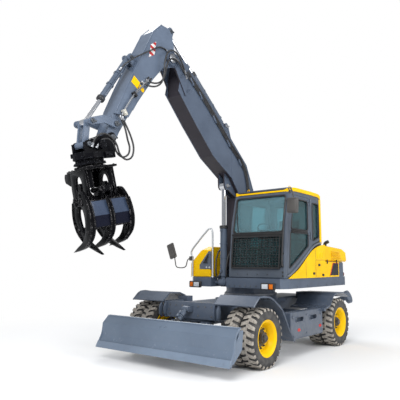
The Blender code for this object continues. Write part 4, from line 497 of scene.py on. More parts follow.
red_lens = enamel("red_lens", (0.55, 0.012, 0.010), (0.42, 0.008, 0.008), rough=0.12, dust=0.15)
for side_name, side in SIDES:
    lips = bmesh.new()
    for line in (FRONT_LIP, REAR_LIP):
        add_pipe(lips, smooth_line([laid(side * 1.214, y, z - 0.012) for y, z in line], 0.05), 0.011, 8)
    add_pipe(lips, smooth_line([laid(side * 1.150, y, 0.300) for y in (0.88, 1.45, 2.03)], 0.2), 0.010, 8)
    for k in range(11):
        for j in range(3):
            stud = Matrix.Translation(laid(side * (1.03 + 0.05 * j), 0.93 + 0.105 * k + 0.05 * (j % 2), 0.72))
            add_turning(lips, [(0.007, 0.006), (0.012, 0.005), (0.017, 0.0), (0.017, -0.004)], 10, stud)
    piece("step_lips_" + side_name, lips, step_paint, "chassis")
    rims = bmesh.new()
    for first, last in ((1.02, 1.30), (1.52, 1.80)):
        oval = [laid(side * 1.163, y, z) for y, z in
                [(first + 0.04 - 0.04 * math.sin(a), 0.60 + 0.04 * math.cos(a)) for a in
                 [math.pi * t / 8 for t in range(9)]]
                + [(last - 0.04 + 0.04 * math.sin(a), 0.60 - 0.04 * math.cos(a)) for a in
                   [math.pi * t / 8 for t in range(9)]]]
        add_pipe(rims, oval + oval[:2], 0.007, 6)
    for y in (0.93, 1.41, 1.97):
        for z in (0.36, 0.66):
            add_bolt(rims, laid(side * 1.16, y, z), (side, 0, 0), 0.011)
    piece("step_slot_rims_" + side_name, rims, step_paint, "chassis")
    lenses = bmesh.new()
    for y in (1.134, 1.935):
        lens = stood(laid(side * 1.16, y, 0.428), (side, 0, 0)) @ Matrix.Scale(0.55, 4, (1, 0, 0))
        add_turning(lenses, [(0, 0.012), (0.026, 0.011), (0.042, 0.008), (0.050, 0.003), (0.050, -0.003), (0, -0.003)],
                    28, lens)
    piece("side_reflectors_" + side_name, lenses, red_lens, "chassis")

# Blade: a rolled and creased plate on two arms, with a hard steel cutting edge held by
# countersunk plough bolts. Its paint is scoured to bare metal along the bottom and corners.
blade_paint = enamel("blade_enamel", (0.142, 0.186, 0.252), (0.126, 0.166, 0.228), rough=0.26, dust=0.06, dust_top=0.8)


def edge_wear_and_highlight(material, bare_metal_or_highlight, width, low, high):
    """Lightens the paint along the edges of the form in noisy patches: on the blade and its cutting edge, paint rubbed
    through to bare steel; on the black tool bracket, rotator and grapple, a painted highlight along the rims.
    """
    tree = material.node_tree
    shader = tree.nodes["Principled BSDF"]
    painted = shader.inputs["Base Color"].links[0].from_node
    place = add_node(tree, "TexCoord")
    rounded = add_node(tree, "Bevel", {"Radius": width})
    rounded.samples = 4
    true_face = add_node(tree, "NewGeometry")
    match = add_node(tree, "VectorMath", operation="DOT_PRODUCT")
    edge = add_node(tree, "MapRange", {"From Min": 0.995, "From Max": 0.90})
    chip_and_glint_noise = add_node(tree, "TexNoise", {"Scale": 26.0, "Detail": 8.0, "Roughness": 0.75})
    chip_and_glint_range = add_node(tree, "MapRange", {"From Min": low, "From Max": high})
    amount = add_node(tree, "Math", operation="MULTIPLY")
    rub_or_highlight = add_node(tree, "Mix", {"B": (*bare_metal_or_highlight, 1)}, data_type="RGBA")
    wire(tree, (place, "Object", chip_and_glint_noise, "Vector"), (rounded, 0, match, 0), (true_face, "Normal", match, 1),
         (match, "Value", edge, "Value"), (chip_and_glint_noise, "Fac", chip_and_glint_range, "Value"), (edge, 0, amount, 0),
         (chip_and_glint_range, 0, amount, 1), (painted, "Result", rub_or_highlight, "A"), (amount, 0, rub_or_highlight, "Factor"),
         (rub_or_highlight, "Result", shader, "Base Color"))


edge_wear_and_highlight(blade_paint, (0.26, 0.28, 0.31), 0.003, 0.62, 0.80)
finish("blade", blade_paint)
# Painted reflection: the cutting edge and its plough bolts get a lighter slate than the blade, standing for the light
# reflected along the blade's curved lower band. The rubbed edges on it are wear.
edge_reflection_paint = enamel("cutting_edge_reflection_enamel", (0.190, 0.245, 0.325), (0.165, 0.212, 0.285), rough=0.24, dust=0.06,
                    dust_top=0.5)
edge_wear_and_highlight(edge_reflection_paint, (0.22, 0.22, 0.23), 0.005, 0.42, 0.60)
cutting_edge = bmesh.new()
lean = math.atan2(0.10, 0.19)
tilt = Matrix.Rotation(-lean, 4, "X")
add_block(cutting_edge, laid(0, -1.0195, 0.228), (2.60, 0.018, 0.105), tilt, 0.004)
piece("blade_cutting_edge", cutting_edge, edge_reflection_paint, "blade")
plough_bolts = bmesh.new()
for k in range(12):
    x = -1.21 + 0.22 * k
    add_turning(plough_bolts, [(0, 0.004), (0.013, 0.004), (0.016, 0.002), (0.016, -0.004)], 16,
                stood(laid(x, -1.029, 0.226), (0, -math.cos(lean), math.sin(lean))))
piece("plough_bolts", plough_bolts, edge_reflection_paint, "blade")
blade_trim = bmesh.new()
for side in (-1, 1):
    add_pipe(blade_trim, [laid(side * 1.288, -0.806, 0.640), laid(side * 1.288, -0.895, 0.545),
                          laid(side * 1.288, -0.934, 0.372), laid(side * 1.288, -1.020, 0.205)], 0.014, 10)
add_pipe(blade_trim, [laid(-1.288, -0.800, 0.650), laid(0, -0.800, 0.650), laid(1.288, -0.800, 0.650)], 0.013, 10)
piece("blade_edge_bars", blade_trim, blade_paint, "blade")
pins = bmesh.new()
for side in (-1, 1):
    for end in (-1, 1):
        x = side * 0.30 + end * 0.085
        add_turning(pins, [(0, 0.012), (0.030, 0.012), (0.036, 0.006), (0.036, -0.01), (0, -0.01)], 20,
                    stood(laid(x, -0.36, 0.44), (end, 0, 0)))
        add_bolt(pins, laid(x + end * 0.010, -0.36, 0.44), (end, 0, 0), 0.010, 0.008)
piece("blade_pins", pins, bolt_steel, "chassis")

# Hydraulic cylinders: honed barrels in the body colour, black glands and hard-chromed rods
# that show the sky. Each barrel carries a steel feed pipe between two port blocks.
barrel_paint = enamel("barrel_enamel", (0.095, 0.122, 0.168), (0.068, 0.090, 0.128), rough=0.26, dust=0.08)
chrome = enamel("hard_chrome", (0.74, 0.75, 0.78), (0.62, 0.63, 0.66), rough=0.10, dust=0.04, metal=1.0)
gland_black = enamel("gland_black", (0.030, 0.032, 0.036), (0.02, 0.02, 0.022), rough=0.35, dust=0.10)
for node_name in ("blade_barrel", "boom_barrel", "arm_barrel", "tool_barrel"):
    finish(node_name, barrel_paint)
for node_name in ("blade_rod", "boom_rod", "arm_rod", "tool_rod", "grapple_rod"):
    finish(node_name, chrome)


def dress_barrel(name, foot, pin, gland_end, radius, up, eye):
    """Gland nut, port blocks and feed pipe of one cylinder, riding on its barrel."""
    foot, pin, up = Vector(foot), Vector(pin), Vector(up)
    along = (pin - foot).normalized()
    up = (up - along * up.dot(along)).normalized()
    place = stood(foot, along)
    nut = bmesh.new()
    add_turning(nut, [(radius + 0.004, gland_end + 0.001), (radius + 0.006, gland_end - 0.012),
                      (radius + 0.006, gland_end - 0.046), (radius + 0.002, gland_end - 0.052)], 24, place)
    add_turning(nut, [(radius * 0.58, gland_end + 0.009), (radius * 0.82, gland_end + 0.009),
                      (radius + 0.001, gland_end + 0.001), (radius + 0.004, gland_end - 0.002)], 24, place)
    piece(name + "_gland_nut", nut, gland_black, name)
    feed = bmesh.new()
    low, high = eye * 2.4, gland_end - 0.085
    lift = radius + 0.016
    ends = [foot + along * (low + 0.03) + up * (radius - 0.004), foot + along * (low + 0.035) + up * lift,
            foot + along * (low + 0.09) + up * (lift + 0.003)]
    ends += [foot + along * (low + 0.09 + (high - low - 0.15) * k / 4) + up * (lift + 0.003) for k in range(1, 5)]
    ends += [foot + along * (high - 0.01) + up * (radius - 0.004)]
    add_pipe(feed, smooth_line(ends, 0.03), 0.008, 8)
    for run in (low + 0.03, high - 0.005):
        turn = Matrix((along, up.cross(along), up)).transposed()
        add_block(feed, foot + along * run + up * (radius + 0.008), (0.045, 0.036, 0.034), turn, 0.004)
    for run in (0.35, 0.68):
        band = stood(foot + along * (low + (high - low) * run), along)
        add_turning(feed, [(radius - 0.004, 0.010), (radius + 0.003, 0.010), (radius + 0.003, -0.010),
                           (radius - 0.004, -0.010)], 24, band)
    piece(name + "_feed_pipe", feed, barrel_paint, name)


dress_barrel("blade_barrel", laid(0, -0.35, 0.80), laid(0, -0.70, 0.52), 0.30, 0.050, (0, -0.5, 1), 0.045)

# Rear stabilisers: channel legs folded up against the tail, with round dished feet on a pin.
# They are cut from plate, welded and painted with the frame.
for side_name, side in SIDES:
    finish("outrigger_" + side_name, slate_paint)
    foot_bolts = bmesh.new()
    leg_pin = laid(side * 0.46, 3.51, 0.62)
    way = Vector((side * math.cos(math.radians(20)), 0, math.sin(math.radians(20))))
    for end in (-1, 1):
        add_bolt(foot_bolts, laid(side * 0.46, 3.51 + end * 0.10, 0.62), (0, end, 0), 0.028, 0.012)
        add_bolt(foot_bolts, leg_pin + way * 0.61 + Vector((0, end * 0.088, 0)), (0, end, 0), 0.022)
    for along, up in circle(6, 1.0):
        spot = leg_pin + way * 0.671 + Vector((0, along, 0)) * 0.095 + way.cross(Vector((0, 1, 0))) * up * 0.095
        add_bolt(foot_bolts, spot, way, 0.010)
    piece("stabiliser_bolts_" + side_name, foot_bolts, bolt_steel, "outrigger_" + side_name)

# Deck: a plate frame on the turntable, open at the front for the boom. Two work lamps with
# an indicator each sit in its front edge, and hoses come up from the turntable to the boom.
finish("deck", slate_paint)
LAMP_Z = 1.122
lamp_black = enamel("lamp_black", (0.018, 0.018, 0.020), (0.012, 0.012, 0.013), rough=0.45, dust=0.3, dust_top=2.0)
lamp_white = enamel("lamp_lens", (0.78, 0.80, 0.82), (0.60, 0.63, 0.67), rough=0.08, dust=0.06)
lamp_orange = enamel("indicator_lens", (0.85, 0.22, 0.01), (0.70, 0.16, 0.01), rough=0.12, dust=0.06)
for side_name, white, orange in (("left", (0.635, 0.751), (0.772, 0.845)),
                                 ("right", (-0.835, -0.715), (-0.925, -0.860))):
    housing = bmesh.new()
    middle = (min(white[0], orange[0]) + max(white[1], orange[1])) / 2
    add_block(housing, laid(middle, 0.878, LAMP_Z),
              (max(white[1], orange[1]) - min(white[0], orange[0]) + 0.06, 0.052, 0.118),
              None, 0.016)
    for first, last in (white, orange):
        half_w, half_h = (last - first) / 2 + 0.006, 0.044
        centre = (first + last) / 2
        loop = [laid(centre + sx * half_w, 0.849, LAMP_Z + sz * half_h)
                for sx, sz in ((-1, -1), (1, -1), (1, 1), (-1, 1), (-1, -1), (1, -1))]
        add_pipe(housing, loop, 0.005, 6)
    piece("lamp_rims_" + side_name, housing, lamp_black, "upper")
    for lens_name, (first, last), glow in (("lamp_lens_", white, lamp_white), ("indicator_", orange, lamp_orange)):
        lens = bmesh.new()
        add_block(lens, laid((first + last) / 2, 0.851, LAMP_Z), (last - first, 0.016, 0.082), None, 0.006)
        columns = max(2, round((last - first) / 0.014))
        for k in range(columns):
            x = first + (last - first) * (k + 0.5) / columns
            add_pipe(lens, [laid(x, 0.8425, LAMP_Z - 0.034), laid(x, 0.8405, LAMP_Z), laid(x, 0.8425, LAMP_Z + 0.034)],
                     0.003, 5)
        piece(lens_name + side_name, lens, glow, "upper")
deck_trim = bmesh.new()
for k in range(6):
    add_bolt(deck_trim, laid(-0.06 + 0.11 * k, 0.900, 1.120), (0, -1, 0), 0.010)
for y in (1.35, 1.75, 2.15, 2.55, 2.95, 3.30):
    for side in (-1, 1):
        add_bolt(deck_trim, laid(side * 1.036, y, 1.120), (side, 0, 0), 0.010)
for side in (-1, 1):
    end = laid(-0.30 + side * 0.192, 1.45, 1.50)
    add_turning(deck_trim, [(0, 0.014), (0.045, 0.014), (0.055, 0.008), (0.055, -0.01), (0, -0.01)], 24,
                stood(end, (side, 0, 0)))
    add_bolt(deck_trim, end + Vector((side * 0.012, 0, 0)), (side, 0, 0), 0.013)
piece("deck_bolts", deck_trim, bolt_steel, "upper")
DECK_TOP = 1.2555
walkway = bmesh.new()
for k in range(0, 9, 2):
    for j in range(4):
        stud = Matrix.Translation(laid(-0.90 + 0.10 * j, 0.930 + 0.008 * k, DECK_TOP))
        stud @= Matrix.Rotation(math.radians(45 if j % 2 else -45), 4, "Z")
        add_turning(walkway, [(0, 0.003), (0.010, 0.002), (0.013, 0.0)], 8, stud)
piece("walkway_studs", walkway, slate_paint, "upper")

# Tank housing: a yellow pressed cover over the fuel and oil tanks to the right of the boom.
# A slate panel is let into its front, with a gauze vent, and the filler cap is on top.
sun_yellow = enamel("sun_yellow_enamel", (0.94, 0.57, 0.003), (0.87, 0.50, 0.003), rough=0.22, dust=0.02, dust_top=2.2,
                    gloss=0.12)
panel_slate = enamel("panel_slate", (0.105, 0.125, 0.165), (0.080, 0.097, 0.130), rough=0.3, dust=0.12, dust_top=2.2)
vent_black = enamel("vent_black", (0.012, 0.012, 0.014), (0.008, 0.008, 0.009), rough=0.6, dust=0.2, dust_top=2.2)
finish("tank_housing", sun_yellow)


def add_sheet(shape, corners, thick, bevel=0.0):
    """Adds a flat sheet whose front has these corners, in order, and whose back is thick behind."""
    corners = [Vector(c) for c in corners]
    across = (corners[1] - corners[0]).cross(corners[2] - corners[1]).normalized()
    front = [shape.verts.new(c) for c in corners]
    back = [shape.verts.new(c - across * thick) for c in corners]
    face = shape.faces.new(front)
    shape.faces.new(back[::-1])
    for k in range(len(corners)):
        after = (k + 1) % len(corners)
        shape.faces.new((front[k], back[k], back[after], front[after]))
    if bevel:
        bmesh.ops.bevel(shape, geom=list(face.edges), offset=bevel, segments=2, affect="EDGES", profile=0.5)


recess = bmesh.new()
add_sheet(recess, [laid(x, 0.994, z) for x, z in ((-0.815, 1.400), (-0.535, 1.400), (-0.535, 1.735), (-0.60, 1.735),
                                                  (-0.815, 1.480))], 0.008, bevel=0.003)
piece("tank_front_panel", recess, panel_slate, "upper")
vent = bmesh.new()
corners = ((-0.735, 1.505), (-0.620, 1.505), (-0.585, 1.685), (-0.605, 1.685))
add_sheet(vent, [laid(x, 0.9900, z) for x, z in corners], 0.005)
for k in range(8):
    share = (k + 0.5) / 8
    z = 1.505 + 0.180 * share
    add_pipe(vent, [laid(-0.735 + 0.130 * share, 0.9865, z), laid(-0.620 + 0.035 * share, 0.9865, z)], 0.0035, 5)
piece("tank_vent", vent, vent_black, "upper")
vent_rim = bmesh.new()
ring = [laid(x, 0.988, z) for x, z in corners]
add_pipe(vent_rim, [ring[k % 4] for k in range(6)], 0.006, 6)
add_pipe(vent_rim, [laid(-0.560, 0.988, 1.505), laid(-0.548, 0.988, 1.600), laid(-0.545, 0.988, 1.690)], 0.007, 8)
piece("tank_vent_rim", vent_rim, panel_slate, "upper")
knobs = bmesh.new()
for x in (-0.640, -0.575):
    add_turning(knobs, [(0, 0.012), (0.012, 0.011), (0.016, 0.006), (0.018, 0)], 16,
                stood(laid(x, 0.987, 1.432), (0, -1, 0)))
knob_grey = enamel("knob_grey", (0.55, 0.57, 0.60), (0.45, 0.47, 0.50), rough=0.3, dust=0.1, dust_top=2.0)
piece("tank_panel_knobs", knobs, knob_grey, "upper")
tank_top = bmesh.new()
add_turning(tank_top, [(0, 0.045), (0.045, 0.045), (0.052, 0.038), (0.052, 0.008), (0.065, 0.006), (0.065, -0.002)],
            28, Matrix.Translation(laid(-0.62, 1.55, 1.82)))
for k in range(14):
    around = 2 * math.pi * k / 14
    add_block(tank_top, laid(-0.62 + 0.053 * math.cos(around), 1.55 + 0.053 * math.sin(around), 1.842),
              (0.006, 0.010, 0.026), Matrix.Rotation(around, 4, "Z"), 0.0015)
piece("filler_cap", tank_top, gland_black, "upper")
tank_seams = bmesh.new()
add_pipe(tank_seams, [laid(x, 1.72, z) for x, z in
                      ((-1.0375, 1.27), (-1.0375, 1.51), (-0.7165, 1.8215), (-0.57, 1.8215))],
         0.0022, 5)
for y in (1.30, 2.15):
    add_block(tank_seams, laid(-1.039, y, 1.36), (0.008, 0.085, 0.030), None, 0.003)
    add_turning(tank_seams, [(0, 0.007), (0.009, 0.007), (0.011, 0.0)], 12,
                stood(laid(-1.043, y, 1.36), (-1, 0, 0)))
piece("tank_latches", tank_seams, vent_black, "upper")

# Engine bay, hood and counterweight: the hood is one pressed lid, hinged at its front, with
# louvres in its flanks. The casting behind it is thick and rounded, in the frame's colour.
finish("engine_bay", sun_yellow)
finish("engine_hood", sun_yellow)
finish("counterweight", slate_paint)
finish("engine_block", casting)
red_paint = enamel("red_edging", (0.55, 0.015, 0.012), (0.45, 0.012, 0.010), rough=0.3, dust=0.1)
for side_name, side in SIDES:
    louvres = bmesh.new()
    for k in range(6):
        z = 1.590 + 0.031 * k
        depth = 0.50 - 0.028 * k
        lower, upper = z - 0.003, z + 0.017
        sheet = [laid(side * 1.036, 2.80, upper), laid(side * 1.036, 2.80 + depth, upper),
                 laid(side * 1.050, 2.805 + depth, lower), laid(side * 1.050, 2.795, lower)]
        if side < 0:
            sheet = sheet[::-1]
        add_sheet(louvres, sheet, 0.004)
    face_out(louvres)
    piece("hood_louvres_" + side_name, louvres, sun_yellow, "engine_hood", smooth=False)
    panel = bmesh.new()
    flat = [laid(side * 1.0395, y, z) for y, z in ((2.72, 1.285), (3.125, 1.285), (3.125, 1.520), (2.87, 1.520))]
    add_sheet(panel, flat if side > 0 else flat[::-1], 0.005)
    face_out(panel)
    piece("side_panel_" + side_name, panel, vent_black, "upper", smooth=False)
    edging = bmesh.new()
    add_pipe(edging, [laid(side * 1.0405, y, z) for y, z in ((2.72, 1.285), (2.87, 1.520), (3.125, 1.520))], 0.0065, 6)
    piece("side_panel_edging_" + side_name, edging, red_paint, "upper")
    seam = bmesh.new()
    add_pipe(seam, [laid(side * 1.0365, 2.50, 1.5502), laid(side * 1.0365, 3.14, 1.5502)], 0.0042, 6)
    for y in (2.60, 3.05):
        add_block(seam, laid(side * 1.042, y, 1.548), (0.012, 0.034, 0.075), None, 0.004)
        add_bolt(seam, laid(side * 1.048, y, 1.530), (side, 0, 0), 0.007, 0.004)
    piece("hood_latches_" + side_name, seam, vent_black, "upper")
exhaust = bmesh.new()
bend = smooth_line([laid(0.80, 3.05, 1.74), laid(0.80, 3.05, 1.86), laid(0.815, 3.05, 1.925), laid(0.880, 3.05, 1.955)],
                   0.02)
add_pipe(exhaust, bend, 0.034, 20)
add_turning(exhaust, [(0.036, 0.030), (0.060, 0.024), (0.075, 0.004), (0.078, -0.004)], 24,
            Matrix.Translation(laid(0.80, 3.05, 1.800)))
piece("exhaust_stack", exhaust, gland_black, "engine_hood")
hood_top = bmesh.new()
for k in range(7):
    x = -0.36 + 0.12 * k
    add_block(hood_top, laid(x, 2.66, 1.8545), (0.085, 0.16, 0.012), Matrix.Rotation(-0.05, 4, "X"), 0.005)
piece("hood_ribs", hood_top, sun_yellow, "engine_hood")
tail_first = laid(1.036, 3.403, 1.300)
tail_last = laid(0.808, 3.6244, 1.300)
tail_along = (tail_last - tail_first).normalized()
for side_name, side in SIDES:
    lens = bmesh.new()
    middle = (tail_first + tail_last) / 2
    outward = Vector((tail_along.y, -tail_along.x, 0))
    spot = middle + outward * 0.037
    turn = Matrix.Rotation(side * math.atan2(tail_along.y, tail_along.x), 4, "Z")
    add_block(lens, Vector((0.08 + side * (spot.x - 0.08), spot.y, spot.z)), (0.160, 0.014, 0.055), turn, 0.005)
    housing = bmesh.new()
    spot = middle + outward * 0.016
    add_block(housing, Vector((0.08 + side * (spot.x - 0.08), spot.y, spot.z)), (0.190, 0.036, 0.080), turn, 0.010)
    piece("tail_housing_" + side_name, housing, lamp_black, "upper")
    piece("tail_lens_" + side_name, lens, red_lens, "upper")
counter_trim = bmesh.new()
for x in (-0.25, 0.25):
    add_pipe(counter_trim, smooth_line([laid(x - 0.05, 3.30, 1.545), laid(x - 0.05, 3.30, 1.59), laid(x, 3.30, 1.615),
                                        laid(x + 0.05, 3.30, 1.59), laid(x + 0.05, 3.30, 1.545)], 0.015), 0.011, 10)
piece("counterweight_lifting_eyes", counter_trim, slate_paint, "upper")

# Side skirt: a yellow moulded panel that rises in a curve under the door to the hood. Its
# upper edge is rolled, and three rubber latches hold its service door shut.
finish("side_skirt", sun_yellow)
SKIRT_LINE = ((1.06, 1.262), (1.42, 1.41), (1.90, 1.71), (2.20, 1.82), (2.47, 1.86))
skirt_lip = bmesh.new()
add_pipe(skirt_lip, smooth_line([laid(1.049, y, z - 0.003) for y, z in SKIRT_LINE], 0.04), 0.011, 10)
piece("skirt_rolled_edge", skirt_lip, sun_yellow, "upper")
skirt_seams = bmesh.new()
for line in ([(1.66, 1.262), (1.66, 1.545)], [(2.06, 1.262), (2.06, 1.755)], [(2.06, 1.575), (2.46, 1.575)]):
    add_pipe(skirt_seams, [laid(1.0565, y, z) for y, z in line], 0.0028, 5)
for y, z in ((2.20, 1.484), (1.973, 1.331), (2.36, 1.300)):
    add_block(skirt_seams, laid(1.061, y, z), (0.012, 0.070, 0.042), None, 0.004)
    add_turning(skirt_seams, [(0, 0.006), (0.010, 0.006), (0.013, 0.0)], 12, stood(laid(1.067, y, z), (1, 0, 0)))
piece("skirt_seams_and_latches", skirt_seams, vent_black, "upper")
skirt_pressings = bmesh.new()
for k in range(4):
    sheet = [laid(1.0562, 2.12 + 0.075 * k, 1.74), laid(1.0562, 2.165 + 0.075 * k, 1.74),
             laid(1.0562, 2.175 + 0.075 * k, 1.60), laid(1.0562, 2.13 + 0.075 * k, 1.60)]
    middle = sum(sheet, Vector()) / 4
    add_block(skirt_pressings, middle, (0.010, 0.040, 0.125), Matrix.Rotation(math.radians(6), 4, "X"), 0.0045)
piece("skirt_pressings", skirt_pressings, sun_yellow, "upper")

# Cab: a welded frame of pressed pillars in dark enamel, with a yellow trim strip round the
# eaves. The panes are green-tinted and set in black rubber, and a wiper is parked at the left.
guard_black = enamel("guard_black", (0.020, 0.020, 0.022), (0.013, 0.013, 0.014), rough=0.4, dust=0.15, dust_top=2.4)
cab_paint = enamel("cab_enamel", (0.084, 0.103, 0.134), (0.064, 0.080, 0.106), rough=0.22, dust=0.05, dust_top=2.6)
finish("cab_shell", cab_paint)
seal_rubber = worn_rubber("seal_rubber", (0.012, 0.012, 0.013), (0.030, 0.030, 0.032), 0.55, 40.0)


def tinted(name, colour, deep):
    """Tinted glass: clear to look through, with rain streaks and a film of dust."""
    made, tree, shader = new_material(name, {"Transmission Weight": 0.86, "IOR": 1.45})
    place = add_node(tree, "TexCoord")
    squeeze = add_node(tree, "Mapping", {"Scale": (9.0, 9.0, 1.4)})
    streak = add_node(tree, "TexNoise", {"Scale": 3.0, "Detail": 6.0})
    tint = add_node(tree, "Mix", {"A": (*colour, 1), "B": (*deep, 1)}, data_type="RGBA")
    film = add_node(tree, "MapRange", {"From Min": 0.35, "From Max": 0.75, "To Min": 0.015, "To Max": 0.12})
    wire(tree, (place, "Object", squeeze, "Vector"), (squeeze, 0, streak, "Vector"), (streak, "Fac", tint, "Factor"),
         (streak, "Fac", film, "Value"), (tint, "Result", shader, "Base Color"), (film, 0, shader, "Roughness"))
    return made


tinted_glass = tinted("tinted_glass", (0.12, 0.28, 0.30), (0.07, 0.18, 0.20))
for node_name in ("lower_window", "quarter_window", "side_window", "rear_window", "door_upper_glass",
                  "door_lower_glass"):
    finish(node_name, tinted_glass)
finish("windscreen", tinted("windscreen_glass", (0.54, 0.88, 0.97), (0.38, 0.68, 0.78)))

CAB_FACE = ((0.93, 1.2553), (0.93, 1.40), (1.02, 2.20), (1.15, 2.72), (1.22, 2.80))


def cab_face_y(z):
    """The slanted cab front's Y at a height."""
    for (y0, z0), (y1, z1) in zip(CAB_FACE, CAB_FACE[1:]):
        if z <= z1:
            return y0 + (y1 - y0) * (z - z0) / (z1 - z0)
    return CAB_FACE[-1][0]


def rounded_loop(corners, radius):
    """A closed run of points whose corners are rounded."""
    made = []
    for k, corner in enumerate(corners):
        corner = Vector(corner)
        before, after = Vector(corners[k - 1]), Vector(corners[(k + 1) % len(corners)])
        first = corner + (before - corner).normalized() * radius
        last = corner + (after - corner).normalized() * radius
        for j in range(6):
            t = j / 5
            made.append(first.lerp(corner, t).lerp(corner.lerp(last, t), t))
    return made + made[:2]


seals = bmesh.new()
for z_low, z_high in ((2.04, 2.68), (1.44, 1.98)):
    steps = [z_low + (z_high - z_low) * k / 4 for k in range(5)]
    loop = [laid(-0.04, cab_face_y(z) - 0.002, z) for z in steps]
    loop += [laid(0.968, cab_face_y(z) - 0.002, z) for z in steps[::-1]]
    add_pipe(seals, rounded_loop([loop[0], loop[4], loop[5], loop[9]], 0.05), 0.015, 8)
for corners, x in ((((2.02, 1.92), (2.02, 2.62), (2.28, 2.62), (2.28, 2.00)), 1.030),
                   (((1.10, 1.62), (1.17, 2.20), (1.28, 2.62), (2.24, 2.62), (2.24, 1.62)), -0.102)):
    add_pipe(seals, rounded_loop([laid(x, y, z) for y, z in corners], 0.045), 0.012, 8)
add_pipe(seals, rounded_loop([laid(x, 2.392, z) for x, z in ((0.08, 1.98), (0.85, 1.98), (0.85, 2.62), (0.08, 2.62))],
                             0.06), 0.012, 8)
piece("window_seals", seals, seal_rubber, "upper")

corner_panels = bmesh.new()
for z_low, z_high in ((2.04, 2.68), (1.44, 1.98)):
    for x, x_in in ((-0.04, 0.02), (0.968, 0.908)):
        for z, z_in in ((z_low, z_low + 0.06), (z_high, z_high - 0.06)):
            y, y_in = cab_face_y(z) + 0.014, cab_face_y(z_in) + 0.014
            corners = [laid(x, y, z), laid(x_in, y, z), laid((x + x_in * 2) / 3, (y + y_in) / 2, (z * 2 + z_in) / 3),
                       laid(x, y_in, z_in)]
            if (x < 0.5) == (z < z_in):
                corners = corners[::-1]
            add_sheet(corner_panels, corners, 0.006)
face_out(corner_panels)
piece("window_corner_fillets", corner_panels, seal_rubber, "upper", smooth=False)

eaves = bmesh.new()
EAVE = 0.032
roof_line = [laid(1.030, 2.36, 2.755), laid(1.030, 2.20, 2.790), laid(1.030, 1.50, 2.796), laid(1.029, 1.30, 2.790),
             laid(1.015, 1.215, 2.778), laid(0.96, 1.175, 2.772), laid(0.46, 1.170, 2.772), laid(-0.03, 1.175, 2.772),
             laid(-0.088, 1.215, 2.778), laid(-0.103, 1.30, 2.790), laid(-0.103, 2.20, 2.790)]
line = smooth_line(roof_line, 0.035)
rings = []
for k, point in enumerate(line):
    way = (line[min(k + 1, len(line) - 1)] - line[max(k - 1, 0)]).normalized()
    outward = way.cross(Vector((0, 0, 1))).normalized()
    side_share = min(1.0, max(0.0, (abs(point.x - 0.54) - 0.46) / 0.07))
    deep = EAVE * (0.42 + 0.58 * side_share)
    point = point - Vector((0, 0, EAVE * 0.35 * (1 - side_share)))
    rings.append([eaves.verts.new(point + outward * a + Vector((0, 0, b))) for a, b in
                  ((-0.012, deep), (0.010, deep - 0.004), (0.013, deep * 0.4), (0.013, -deep * 0.6), (0.008, -deep),
                   (-0.012, -deep))])
for first, second in zip(rings, rings[1:]):
    for j in range(6):
        eaves.faces.new((first[j], first[(j + 1) % 6], second[(j + 1) % 6], second[j]))
eaves.faces.new(rings[0])
eaves.faces.new(rings[-1][::-1])
face_out(eaves)
piece("eaves_trim_strip", eaves, sun_yellow, "upper")

roof = bmesh.new()
add_pipe(roof, smooth_line([laid(1.020, 1.24, 2.806), laid(0.97, 1.190, 2.803), laid(0.46, 1.186, 2.803),
                            laid(-0.04, 1.190, 2.803), laid(-0.092, 1.24, 2.806)], 0.04), 0.016, 10)
for x in (0.20, 0.73):
    add_block(roof, laid(x, 1.82, 2.824), (0.34, 0.82, 0.016), None, 0.006)
piece("roof_pressings", roof, cab_paint, "upper")
hooks = bmesh.new()
for x, y in ((0.139, 1.25), (0.955, 1.30), (0.955, 2.14)):
    foot = laid(x, y, 2.822)
    add_block(hooks, foot, (0.055, 0.030, 0.010), None, 0.003)
    loop = [foot + Vector((a, 0, b)) for a, b in
            ((-0.016, 0.0), (-0.018, 0.020), (0.0, 0.034), (0.018, 0.020), (0.016, 0.0))]
    add_pipe(hooks, smooth_line(loop, 0.006), 0.0065, 8)
piece("roof_lifting_hooks", hooks, sun_yellow, "upper")

front_bar = bmesh.new()
add_block(front_bar, laid(0.464, cab_face_y(2.01) - 0.010, 2.010), (1.04, 0.026, 0.040), Matrix.Rotation(-0.11, 4, "X"),
          0.008)
piece("windscreen_cross_bar", front_bar, vent_black, "upper")
pillar_bolts = bmesh.new()
for z in (1.30, 1.36, 1.67):
    add_bolt(pillar_bolts, laid(0.992, cab_face_y(z), z), (0, -1, 0), 0.012, 0.008)
for x in (0.10, 0.30, 0.50, 0.70):
    add_bolt(pillar_bolts, laid(x, 0.930, 1.320), (0, -1, 0), 0.008, 0.006)
piece("cab_front_bolts", pillar_bolts, vent_black, "upper")
grab = bmesh.new()
rail = [laid(1.000, cab_face_y(1.47) - 0.002, 1.47), laid(1.000, cab_face_y(1.48) - 0.045, 1.49),
        laid(1.000, cab_face_y(1.9) - 0.050, 1.90), laid(1.000, cab_face_y(2.3) - 0.050, 2.30),
        laid(1.000, cab_face_y(2.56) - 0.045, 2.54), laid(1.000, cab_face_y(2.58) - 0.002, 2.58)]
add_pipe(grab, smooth_line(rail, 0.03), 0.014, 12)
rail_grey = enamel("rail_grey", (0.15, 0.17, 0.20), (0.11, 0.125, 0.15), rough=0.35, dust=0.1, dust_top=2.4)
piece("pillar_grab_rail", grab, guard_black, "upper")

